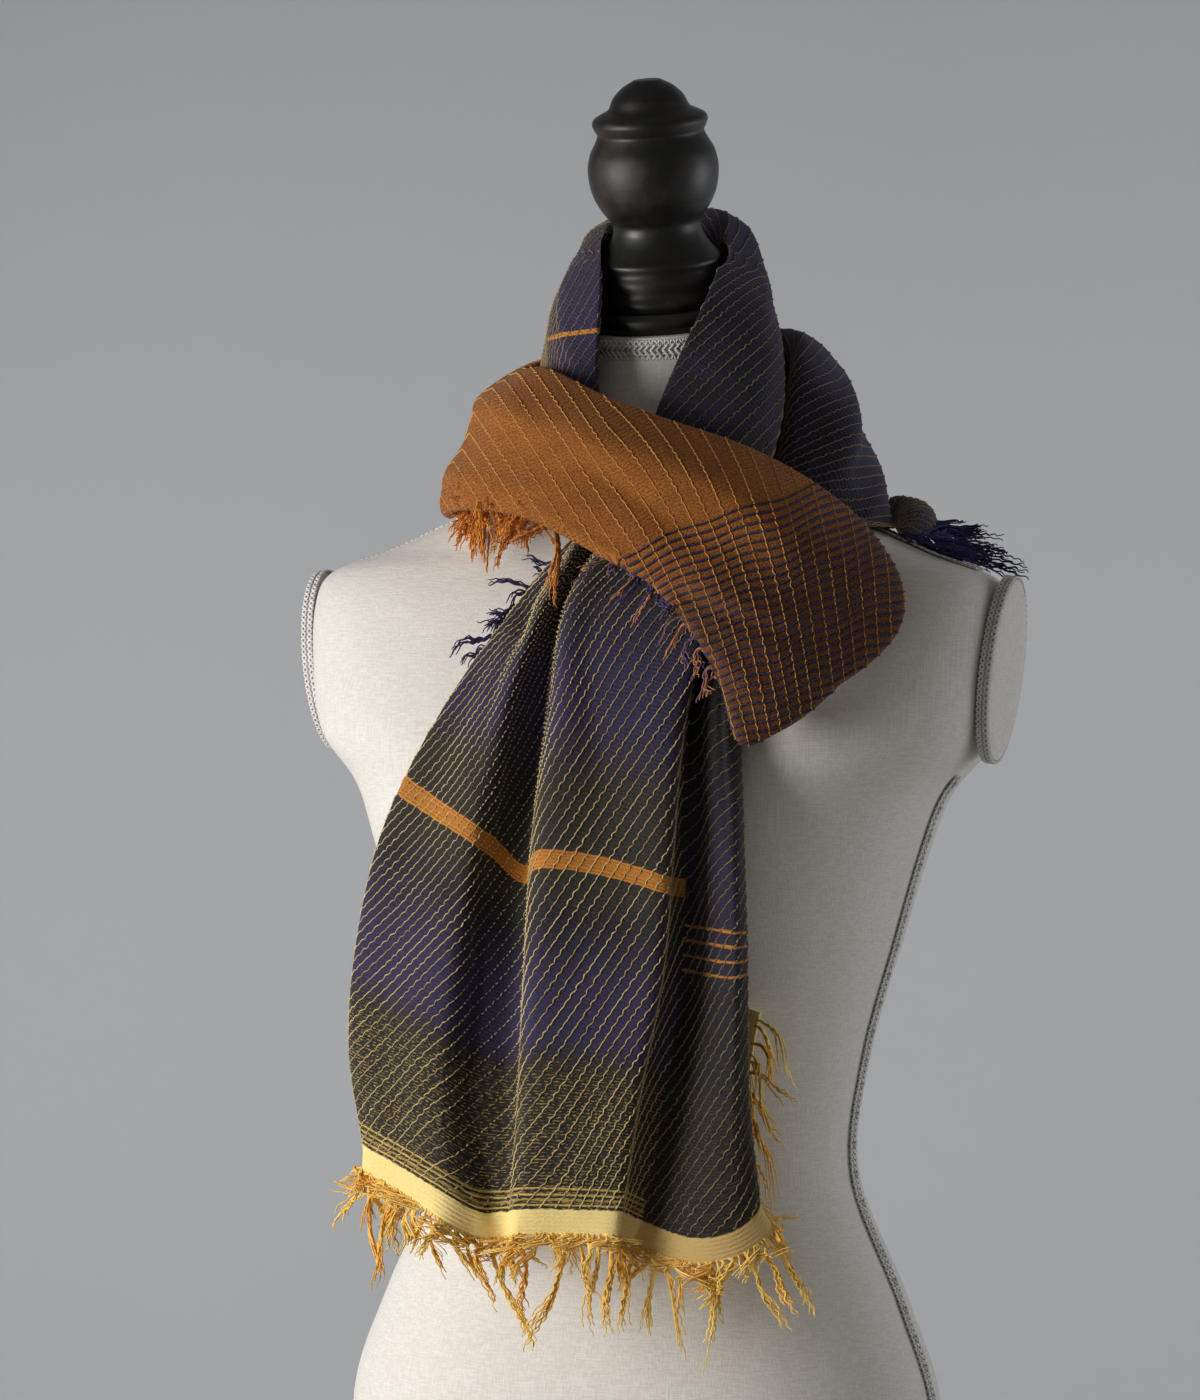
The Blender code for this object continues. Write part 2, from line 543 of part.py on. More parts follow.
def make_front_wrap(canvas):
    outer, inner = cloth("front_wrap", band_net(WRAP, OUTER_ROLL), (34, 14), SHAWL_AMBER, canvas)
    away = unit(outer[:, -1] - outer[:, -2])
    left = slice(5, 14)
    fringe("amber_fringe", outer[left, -1], inner[left, -1], away[left], AMBER_FRINGE, FRINGE_GOLD, canvas,
           clearance=OVER_TRIM)
    middle = slice(15, 25)
    fringe("mixed_fringe", outer[middle, -1], inner[middle, -1], away[middle], MIXED_FRINGE, FRINGE_NAVY, canvas)


def make_tail(canvas):
    outer, inner = cloth("tail_back", hanging_net(TAIL_BACK, BACK_HANG), (14, 15), SHAWL_NAVY, canvas,
                         BACK_REST)
    away = unit(outer[-1] - outer[-2])
    fringe("tail_back_hem", outer[-1], inner[-1], away, BACK_FRINGE, FRINGE_GOLD, canvas)
    outer, inner = cloth("tail_front", hanging_net(TAIL, TAIL_HANG), (18, 43), SHAWL_NAVY, canvas,
                         BACK_REST + CLOTH + BACK_GAP)
    away = unit(outer[-1] - outer[-2])
    fringe("tail_hem", outer[-1], inner[-1], away, HEM_FRINGE, FRINGE_GOLD, canvas, skip=5)
    face, lining = (spline(grid[1:5, 1], np.linspace(0, 1, 9)) for grid in (outer, inner))
    behind = unit(face - lining)
    left = np.tile(form_axes(np.array([-1.0, 0.3, -0.3])), (len(face), 1))
    fringe("side_fringe", face + behind * (TRIM_REST + CLOTH), face + behind * TRIM_REST, left, SIDE_FRINGE,
           FRINGE_NAVY, canvas)


def main():
    for old in list(bpy.data.objects):
        bpy.data.objects.remove(old, do_unlink=True)
    canvas, ground = make_form()
    make_shawl(canvas, ground)


main()
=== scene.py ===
"""Looks of a wool and cotton shawl wound round the neck of a table-top dress form.

Laid out as an add-on: its sidebar panel lists the steps in the order in which they run.
Blender works in metres and the tables here are in millimetres. The shawl's tables use the drape's
own axes, which are the form's turned about Z: x across the drape, y behind it, z up.
"""

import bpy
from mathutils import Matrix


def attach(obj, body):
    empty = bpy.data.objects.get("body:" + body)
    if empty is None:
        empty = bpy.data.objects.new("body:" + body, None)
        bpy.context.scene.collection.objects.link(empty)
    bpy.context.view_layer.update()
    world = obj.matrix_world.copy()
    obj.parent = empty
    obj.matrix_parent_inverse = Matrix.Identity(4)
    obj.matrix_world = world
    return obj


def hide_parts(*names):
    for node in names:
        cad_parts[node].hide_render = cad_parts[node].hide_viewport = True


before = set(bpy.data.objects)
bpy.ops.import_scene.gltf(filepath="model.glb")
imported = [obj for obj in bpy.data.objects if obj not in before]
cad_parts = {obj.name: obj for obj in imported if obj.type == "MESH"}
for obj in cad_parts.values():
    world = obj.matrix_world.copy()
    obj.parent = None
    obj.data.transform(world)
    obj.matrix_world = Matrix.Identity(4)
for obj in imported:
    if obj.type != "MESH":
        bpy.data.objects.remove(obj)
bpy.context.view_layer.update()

import math
import random
from collections import namedtuple

import bpy
import numpy as np
from bpy.props import FloatProperty, FloatVectorProperty, PointerProperty
from mathutils import Matrix, Vector
from mathutils.bvhtree import BVHTree

bl_info = {
    "name": "Shawl on a dress form",
    "version": (1, 0, 0),
    "blender": (4, 5, 0),
    "location": "View3D > Sidebar > Shawl",
    "description": "Canvas form, gimp trim, woven loops, hanging end and fringes",
    "category": "Object",
}

BODY = "root"
MM = 0.001
TURN = math.radians(20.0)      # the drape is arranged to be seen from this far round the form
CLOTH = 2.0                    # depth that the CAD keeps for every stretch of the shawl
SEAM = 0.3
TRIM_REST = 0.6                # gap between the trim and the canvas
BACK_REST = 1.8                # gap between the canvas and the tail's other layer
BACK_GAP = 1.2                 # and between its two layers
OVER_TRIM = 3.1                # gap between the canvas and the loops, which lie on the seams' braid
TRIM_WIDTH = 12.0              # gimp braid
HEM_DEPTH = 14.0               # plain woven band between the cloth and its fringe

# ---------------------------------------------------------------- dress form
# Sections of the form: height, half width, depth in front of and behind its axis, forward
# lean in degrees, and the power of the rounded section (2 is an ellipse).
Slice = namedtuple("Slice", "z half front back lean power")
FORM = [
    Slice(60, 150, 98, 104, 0, 2.2),
    Slice(80, 159, 105, 113, 0, 2.2),
    Slice(165, 168, 113, 122, 0, 2.2),
    Slice(230, 148, 103, 108, 0, 2.2),
    Slice(300, 119, 85, 86, 0, 2.2),
    Slice(365, 124, 99, 91, 0, 2.2),
    Slice(430, 141, 124, 100, 0, 2.3),
    Slice(480, 155, 133, 106, 0, 2.4),
    Slice(512, 167, 128, 109, 0, 2.5),
    Slice(540, 188, 119, 108, 0, 2.8),
    Slice(575, 196, 105, 105, 0, 2.9),
    Slice(610, 199, 88, 94, 0, 2.9),
    Slice(630, 192, 75, 84, 0, 2.7),
    Slice(643, 158, 67, 76, 0, 2.4),
    Slice(660, 120, 62, 68, 1, 2.2),
    Slice(676, 84, 59, 61, 3, 2.1),
    Slice(696, 61, 55, 55, 7, 2.0),
    Slice(728, 52, 51, 52, 11, 2.0),
    Slice(750, 50, 49, 50, 14, 2.0),
    Slice(772, 50, 49, 50, 15, 2.0),
]

NECK_TOP = Vector((0, 0, 772))
NECK_LEAN = math.radians(15.0)
# Turned profiles are (height, radius) down the outside, from the top.
CAP = [(11, 0), (11, 44), (8, 47), (3, 47), (0, 44), (0, 0)]
FINIAL = [
    (137, 0), (135.7, 7.5), (132, 14.5), (126.5, 20), (120, 22.5), (118, 27), (115.5, 31.5),
    (112.5, 32.5), (109, 31), (106.5, 29.5), (103, 31), (96, 35), (88, 36.6), (80, 36.2), (72, 34.3),
    (64, 30), (57, 24.5), (52, 24.5), (46, 27), (40, 31.5), (36, 36), (31, 34.5), (26, 37), (20, 36.5),
    (15, 39), (11.3, 38), (11.3, 0),
]
COLUMN = [(0, 0), (0, 19), (-10, 19), (-14, 24), (-37.4, 24), (-37.4, 0)]     # below the torso
BASE = [(22, 0), (22, 30), (19, 62), (14, 96), (10, 104), (5, 106), (0, 104), (0, 0)]
TORSO_FOOT = 60.0
SIDES = ((-1, "left"), (1, "right"))
DEEPEST = 40.0                 # points further inside the form than this are left where they are
NECK_DEEPEST = 8.0             # and the same for the collar at the neck
INSIDE = 0.8                   # cosine that tells a point inside a body from one beside its edge
SEAM_FOOT, SEAM_TOP = 62.0, 521.0       # the side seams' braid
SHOULDER_BRAID = (67.0, 184.0)          # and the shoulders', from the neck out

PLATE_MIDDLE = (202.4, 580.0)           # x and z of the right arm plate's outer face
PLATE_HALF_DEPTH = 33.0
PLATE_HALF_HEIGHT = 50.0
PLATE_LEAN = math.radians(6.0)          # top further out than the bottom
PLATE_THICK = 5.0
RIM_WIDTH = 7.5                         # braid round the plate's rim

# ---------------------------------------------------------------- shawl
# A band of the shawl that goes round the neck is a row of sections. Each runs from its crest,
# over its belly, to its foot; the cloth's edge turns in behind the crest and under the foot.
Section = namedtuple("Section", "crest belly foot flap")
COLLAR = [      # tall inner loop: from under the left strand, round the back, down at the right
    Section((-33, -82, 703), (-48, -88, 694), (-54, -78, 668), 0.2),
    Section((-38, -66, 735), (-55, -58, 731), (-57, -50, 692), 0.2),
    Section((-39, -58, 760), (-62, -33, 757), (-60, -28, 706), 0.2),
    Section((-38, -46, 785), (-60, -10, 782), (-63, -5, 715), 0.1),
    Section((-36, -12, 815), (-48, 14, 804), (-60, 22, 725), 0.1),
    Section((-28, 32, 834), (-40, 46, 812), (-47, 54, 732), 0.8),
    Section((6, 48, 840), (6, 62, 814), (6, 72, 740), 0.8),
    Section((33, 30, 838), (46, 36, 820), (56, 46, 740), 0.7),
    Section((35, -8, 814), (59, 4, 792), (60, 8, 730), 0.1),
    Section((26, -54, 783), (65, -22, 765), (60, -24, 715), 0.1),
    Section((13, -66, 752), (66, -48, 738), (58, -50, 695), 0.2),
    Section((1, -78, 722), (60, -74, 706), (52, -72, 675), 0.2),
    Section((-6, -90, 700), (50, -90, 684), (44, -86, 660), 0.2),
]
SHOULDER = [    # outer loop: from under the right end of the front wrap, over the shoulder, round the back
    Section((64, -66, 674), (92, -70, 652), (102, -60, 632), 0.1),
    Section((73, -50, 706), (107, -54, 676), (122, -46, 646), 0.15),
    Section((78, -28, 742), (111, -28, 702), (124, -24, 660), 0.2),
    Section((80, 8, 764), (103, 18, 732), (114, 18, 678), 0.3),
    Section((70, 56, 772), (94, 68, 742), (102, 72, 692), 0.5),
    Section((36, 88, 776), (48, 108, 742), (48, 112, 692), 0.6),
    Section((-10, 96, 772), (-12, 118, 738), (-12, 120, 690), 0.6),
    Section((-49, 82, 760), (-70, 101, 725), (-70, 101, 687), 0.6),
]
WRAP = [        # front wrap: from behind the neck at the left, across the chest to its folded right end
    Section((-50.0, 80.9, 760), (-71.0, 99.9, 725), (-71.0, 99.9, 687), 0.6),
    Section((-73, 38, 749), (-102, 47, 712), (-108, 48, 665), 0.5),
    Section((-79, -12, 741), (-107, -18, 703), (-120, -22, 663), 0.2),
    Section((-66, -62, 738), (-91, -84, 696), (-106, -84, 664), 0.1),
    Section((-35, -96, 722), (-54, -124, 682), (-72, -122, 658), 0.1),
    Section((-4, -110, 710), (-10, -146, 664), (-30, -146, 637), 0.1),
    Section((36, -114, 697), (30, -158, 642), (-2, -158, 621), 0.1),
    Section((66, -108, 684), (62, -164, 620), (20, -170, 597), 0.1),
    Section((90, -102, 670), (94, -156, 600), (36, -174, 569), 0.2),
    Section((108, -98, 656), (122, -140, 598), (47, -172, 541), 0.3),
    Section((108, -90, 650), (110, -133, 600), (62, -154, 552), 0.2),
    Section((90, -86, 650), (88, -134, 606), (58, -148, 562), 0.2),
]

# The hanging end: its fold lines, each with its x and how proud it stands at the sheet's
# heights, the height of the hem below it, the height of the top of its orange band, and how
# steeply its warp climbs, as the sideways run for each unit of height.
Fold = namedtuple("Fold", "name x proud hem band run", defaults=(480, 0.7))
Hang = namedtuple("Hang", "heights depths")
TAIL_HANG = Hang((650, 612, 560, 500, 440, 380, 330), (-98, -112, -134, -152, -154, -153, -150))
BACK_HANG = Hang((560, 515, 465, 410, 345), (-96, -100, -100, -92, -94))
TAIL_SLANT = -0.20              # it hangs square to the form's front
TAIL_MIDDLE = -50.0
TAIL = [
    Fold("left flap", (-30, -44, -80, -112, -128, -132, -126), (-32, -32, -34, -36, -38, -38, -36),
         320, 520, 1.0),
    Fold("left edge", (-46, -76, -113, -144, -159, -163, -155), (-12, -12, -12, -12, -14, -16, -16),
         321, 520, 1.0),
    Fold("left face", (-44, -72, -102, -124, -138, -142, -137), (-4, -4, -4, -3, -2, -2, -4), 312, 508, 0.95),
    Fold("left ridge", (-40, -64, -86, -98, -109, -115, -112), (2, 4, 8, 9, 9, 8, 7), 299, 494, 0.85),
    Fold("left fall", (-34, -57, -72, -84, -92, -97, -92), (-3, -3, -3, -4, -4, -2, 0), 288, 484, 0.75),
    Fold("under ridge", (-30, -52, -62, -70, -74, -77, -78), (-6, -7, -8, -10, -10, -8, -4), 288, 472, 0.7),
    Fold("middle ridge", (-26, -49, -54, -61, -64, -66, -70), (7, 8, 9, 10, 10, 9, 8), 291, 481, 0.65),
    Fold("middle face", (-6, -22, -28, -30, -33, -38, -42), (6, 7, 8, 8, 8, 8, 7), 292, 478, 0.6),
    Fold("right ridge", (16, 20, 8, 4, 0, -11, -18), (6, 8, 9, 9, 9, 9, 8), 292, 469, 0.6),
    Fold("ridge's back", (18, 22, 14, 9, 5, -6, -14), (-2, -4, -8, -10, -10, -8, -5), 290, 467, 0.6),
    Fold("gully", (22, 24, 19, 17, 16, 8, -2), (-10, -14, -20, -24, -24, -20, -14), 284, 466, 0.65),
    Fold("lip", (30, 27, 25, 28, 31, 28, 22), (-6, -4, -5, -7, -8, -7, -6), 278, 466, 0.7),
    Fold("right face", (38, 36, 34, 38, 41, 42, 44), (-2, -1, -1, -2, -4, -5, -6), 283, 464, 0.75),
    Fold("right edge", (46, 44, 43, 45, 48, 50, 57), (-12, -12, -12, -13, -14, -15, -15), 297, 462, 0.8),
    Fold("right flap", (38, 36, 34, 34, 36, 36, 40), (-26, -28, -30, -30, -32, -32, -30), 312, 462, 0.8),
]
TAIL_BACK = [   # the end's other layer, its corner turned up behind the right edge
    Fold("left edge", (-62, -96, -112, -116, -112), (0, 0, 0, 0, 0), 322),
    Fold("left fold", (-40, -62, -74, -78, -76), (0, 3, 5, 5, 4), 310),
    Fold("middle", (-14, -24, -30, -30, -28), (0, -2, -3, -3, -2), 305),
    Fold("right fold", (8, 8, 8, 10, 14), (0, 2, 3, 4, 3), 312),
    Fold("turn", (18, 22, 26, 31, 35), (0, 0, 0, 2, 2), 346),
    Fold("corner", (24, 29, 34, 40, 45), (0, 2, 4, 5, 6), 398),
]

# A small fold of the shawl that is tucked beside the right shoulder: its line and its radius.
Bead = namedtuple("Bead", "middle radius")
TUCK = [
    Bead((136, -46, 652), 7), Bead((141, -30, 658), 9), Bead((142, -8, 664), 9), Bead((134, 12, 669), 7),
]
TUCK_ARC = (290, 230, 170, 120, 75, 35, 0)   # degrees round it, from its underside to its outer side
TUCK_END = [Bead((131, -57, 651), 1.5), Bead((133, -53, 651), 4.8)]     # its rounded front end

# Edge roll of a band: how far the cloth turns in behind its crest and under its foot.
Roll = namedtuple("Roll", "radius flap under")
COLLAR_ROLL = Roll(11, 26, 6)
OUTER_ROLL = Roll(12, 25, 9)
SHOULDER_TUCK = (0.75, 0.12)   # least flap where the shoulder loop starts, and how that falls by section

# Grids of the stretches, points along and across, and the sizes in metres of the cloth cut for each.
TAIL_SIZE, TAIL_FLAT = (190, 150), (0.30, 0.38)
BACK_SIZE, BACK_FLAT = (90, 70), (0.19, 0.23)
WRAP_SIZE, WRAP_FLAT = (210, 84), (0.17, 0.38)
COLLAR_SIZE, COLLAR_FLAT = (230, 62), (0.13, 0.41)
SHOULDER_SIZE, SHOULDER_FLAT = (170, 66), (0.15, 0.28)
TUCK_SIZE, TUCK_FLAT = (50, 36), (0.037, 0.08)

# ---------------------------------------------------------------- weave
# How the pale yarns of a loop run: the angles, in degrees, between the way it runs and its warp
# from start to end, and how much closer together its pale yarns lie there.
Lean = namedtuple("Lean", "angles gather")
COLLAR_LEAN = Lean((28, 28, 24, 26, 24, 24), (1.4, 1.4, 1.2, 1.1, 1.05, 1.05))
SHOULDER_LEAN = Lean((20, 17, 20, 24), (1.15, 1.15, 1.1, 1.0))
TUCK_LEAN = Lean((50, 60), (1.2, 1.2))
STRIPE = (761.5, -45.0, 0.1)   # the orange stripe over the left strand: its height at an x, and its climb
FAR_FROM_STRIPE = 99.0
STRIPE_HALF = (1.1, 1.5)       # it fades out from the first to the second of these from its middle

# The hanging end, measured along the cloth up from its hem.
BAND_TOP = 208.0               # top edge of its orange band
DASH_TOP, DASH_FADE = 96.0, 26.0        # the yellow dashes end here, and fade out over this
WARP_LEVEL = 440.0             # height at which its folds set where its pale yarns lie
WARP_ANCHOR = 0.45             # and the share across it where they are counted from
PANEL = 0.70                   # share across it where its turned panel starts
LEFT_EDGE = (0.3, 0.9)         # share across it where its weft climbs faster above the band, and how much
# Where its pale yarns show as dashes only: the share across, and half its width at two heights.
DIVE_MIDDLE, DIVE_HEIGHTS, DIVE_HALVES = 0.31, (480, 620), (0.09, 0.22)
TUFT_ROWS, TUFT_COLUMN = slice(12, 50), 9       # of its grid, where the side fringe is rooted
Band = namedtuple("Band", "low high dye shade where")
TAIL_BANDS = [Band(197.0, BAND_TOP, "orange", "rust", "main"), Band(-40.0, 0.0, "hem", "gold", "all")]
TAIL_BANDS += [Band(low, low + 1.6, "orange", "rust", "panel") for low in (152.0, 161.0, 170.0, 179.0)]
TAIL_BANDS += [Band(low, low + 1.2, "dash", "gold", "main") for low in (2.0, 5.0, 8.2, 11.6)]

# The front wrap: its warp leans as the loop does behind the shoulder, and falls steeply in front.
WRAP_LEAN = 0.8
WRAP_PITCH = 1.15              # its pale yarns lie this much further apart than the others
WRAP_STEEP = (63.0, 0.2, 57.0, 86.0)    # how steeply they fall in degrees, its growth with x, its limits
WRAP_MIDDLE = 630.0
WRAP_TURN = (0.10, 0.20)       # shares along the wrap between which it comes round to the front
WEFT_START, WEFT_CLIMB = (-18.0, 638.0), 0.40   # where its first navy weft starts, and how that climbs
WEFT_LEFT = -24.0              # no navy weft shows left of this
CHECK_FADE = 58.0              # its ground turns from amber to brown over this
AMBER_ROOTS, MIXED_ROOTS = (0.15, 0.40), (0.45, 0.73)   # shares along its foot where its fringes are rooted

# Streaks of dye and yarn: how fast they change along the warp and the weft, their seed and detail.
Streak = namedtuple("Streak", "across along seed detail")
RAGGED = Streak(0.22, 0.55, 2.0, 2.0)           # edges of the dyed zones
CLOUDY = Streak(0.035, 0.11, 6.0, 3.0)          # broad unevenness of the blue
FINE = Streak(0.35, 1.3, 1.0, 2.0)              # single weft yarns
LIGHT = Streak(0.5, 0.8, 12.0, 1.0)             # paler flecks
SPECK = Streak(0.42, 1.15, 3.0, 1.0)            # where the dashes show
WANDER = Streak(0.45, 0.45, 4.0, 1.0)           # where the ribs stand higher
GRAIN = Streak(1.1, 0.9, 9.0, 2.0)              # roughness of the yarn
AMBER_FINE = Streak(0.9, 1.1, 1.0, 3.0)
AMBER_BROAD = Streak(0.05, 0.09, 5.0, 2.0)

# ---------------------------------------------------------------- studio
CAMERA = (-32.0, -2600.0, 560.0)        # in the drape's axes, as the lamps' places are
SENSOR = 36.0
WINDOW, WINDOW_AIM, WINDOW_SIZE = (-1700.0, -820.0, 430.0), (-60.0, 0.0, 250.0), (1.1, 1.2)
FAR_WINDOW, FAR_AIM, FAR_SIZE = (1900.0, 150.0, 700.0), (100.0, 700.0, 450.0), (1.2, 1.2)
FAR_SHARE = 0.6                # of the window's strength
WINDOW_DYE, FAR_DYE, ROOM_DYE = (1.0, 0.985, 0.96), (0.93, 0.96, 1.0), (0.95, 0.90, 0.86)
STAGE_HALF, WALL_BEHIND, WALL_HEIGHT = 4000, 900, 3600


# ---------------------------------------------------------------- mathematics
def spline(points, at):
    """Catmull-Rom curve through an array's rows, read at parameters from 0 to 1."""
    points = np.asarray(points, float)
    count = len(points)
    ends = np.concatenate([2 * points[:1] - points[1:2], points, 2 * points[-1:] - points[-2:-1]])
    place = np.clip(np.asarray(at, float), 0, 1) * (count - 1)
    i = np.minimum(place.astype(int), count - 2)
    t = (place - i).reshape((-1,) + (1,) * (points.ndim - 1))
    a, b, c, d = ends[i], ends[i + 1], ends[i + 2], ends[i + 3]
    return 0.5 * (2 * b + (c - a) * t + (2 * a - 5 * b + 4 * c - d) * t**2 + (3 * b - a - 3 * c + d) * t**3)


def surface(net, along, across):
    """Grid of points (along, across) read from a net of rows and columns."""
    rows = spline(net, along)
    return np.swapaxes(spline(np.swapaxes(rows, 0, 1), across), 0, 1)


def unit(vectors):
    return vectors / (np.linalg.norm(vectors, axis=-1, keepdims=True) + 1e-9)


def normals(grid):
    return unit(np.cross(np.gradient(grid, axis=0), np.gradient(grid, axis=1)))


def form_axes(points):
    """Turns points from the drape's axes to the form's."""
    x, y, z = np.moveaxis(np.asarray(points, float), -1, 0)
    c, s = math.cos(TURN), math.sin(TURN)
    return np.stack([x * c - y * s, x * s + y * c, z], -1)


FRONT = form_axes((0, -1, 0))


def drape_axes(points):
    """x and z of points in the drape's axes."""
    c, s = math.cos(TURN), math.sin(TURN)
    return points[..., 0] * c + points[..., 1] * s, points[..., 2]


def arc(grid, axis):
    """Distance in millimetres along a grid's rows or columns, from its first."""
    steps = np.linalg.norm(np.diff(grid, axis=axis), axis=-1)
    start = np.zeros_like(steps[:1] if axis == 0 else steps[:, :1])
    return np.concatenate([start, np.cumsum(steps, axis=axis)], axis=axis)


def tone(red, green, blue):
    """A colour read off a screen, as the linear one that a shader takes."""
    return tuple(c / 12.92 if c <= 0.04045 else ((c + 0.055) / 1.055) ** 2.4
                 for c in (red / 255, green / 255, blue / 255))


# ---------------------------------------------------------------- settings
def colour(name, description, default):
    return FloatVectorProperty(name=name, description=description, default=tone(*default), subtype="COLOR",
                               size=3, min=0, max=1)


def length(name, description, default):
    return FloatProperty(name=name, description=description, default=default * MM, unit="LENGTH", precision=5)


class ShawlSettings(bpy.types.PropertyGroup):
    """Sizes and dyes of the shawl"""
    thickness: length("Cloth", "Thickness of the woven cloth", 1.2)
    pitch: length("Warp line pitch", "Distance between the pale warp yarns", 6.9)
    yarn: length("Warp yarn", "Diameter of a pale warp yarn", 0.95)
    wave: length("Warp wave", "How far a pale warp yarn swings to each side", 0.48)
    wave_length: length("Warp wave length", "Length of one swing of a pale warp yarn", 5.4)
    weft_pitch: length("Weft line pitch", "Distance between the navy weft yarns of the front wrap", 5.0)
    strand: length("Fringe yarn", "Diameter of one yarn of the fringe", 1.35)
    navy: colour("Navy", "Darkest of the blue weft", (20, 18, 36))
    violet: colour("Violet", "Lightest of the blue weft", (58, 49, 106))
    charcoal: colour("Charcoal", "Olive-grey weft", (40, 37, 34))
    soot: colour("Soot", "Nearly black weft of the lowest zone", (19, 18, 19))
    orange: colour("Orange", "Weft band across the hanging end", (199, 128, 38))
    hem: colour("Hem", "Plain band above the fringe", (242, 220, 152))
    dash: colour("Dashes", "Yellow weft that shows in short dashes", (150, 126, 66))
    pale: colour("Pale yarn", "Warp yarns of the blue cloth", (214, 190, 132))
    amber: colour("Amber", "Plain end of the front wrap", (164, 102, 24))
    rust: colour("Rust", "Second colour of the front wrap's weft", (122, 60, 18))
    brown: colour("Brown", "Weft between the lines of the wrap's checked end", (104, 64, 32))
    straw: colour("Straw", "Warp yarns of the front wrap", (212, 156, 78))
    gold: colour("Gold", "Fringe under the hem", (255, 218, 116))
    ginger: colour("Ginger", "Fringe under the front wrap", (236, 156, 58))


class FormSettings(bpy.types.PropertyGroup):
    """Sizes and finishes of the dress form"""
    canvas: colour("Canvas", "Linen canvas over the form", (229, 226, 221))
    slub: colour("Slubs", "Darker threads of the canvas", (208, 203, 195))
    wood: colour("Wood", "Ebonised turned wood", (13, 13, 12))
    worn: colour("Worn wood", "Where handling has thinned the black", (58, 47, 35))
    gimp: colour("Gimp", "White braid over the seams", (232, 230, 228))
    gimp_pitch: length("Gimp pitch", "Length of one loop of the braid", 3.3)
    gimp_cord: length("Gimp cord", "Diameter of the cord in the braid", 1.5)


class StudioSettings(bpy.types.PropertyGroup):
    """The camera, the wall, the floor and the light"""
    wall: colour("Wall", "Backdrop", (202, 205, 210))
    floor: colour("Floor", "Plain pale floor", (200, 198, 194))
    window: FloatProperty(name="Window", description="Strength of the window light at the left", default=15.5,
                          unit="POWER")
    bounce: FloatProperty(name="Bounce", description="Strength of the light that the room gives back",
                          default=0.15)
    focal: FloatProperty(name="Focal length", description="Of the camera's lens", default=119.4)
    roll: FloatProperty(name="Roll", description="Turn of the camera about its line of sight",
                        default=math.radians(1.0), subtype="ANGLE")


# ---------------------------------------------------------------- finishes
LAST_ZONE = 60.0               # the last colour of a row of zones runs on this far


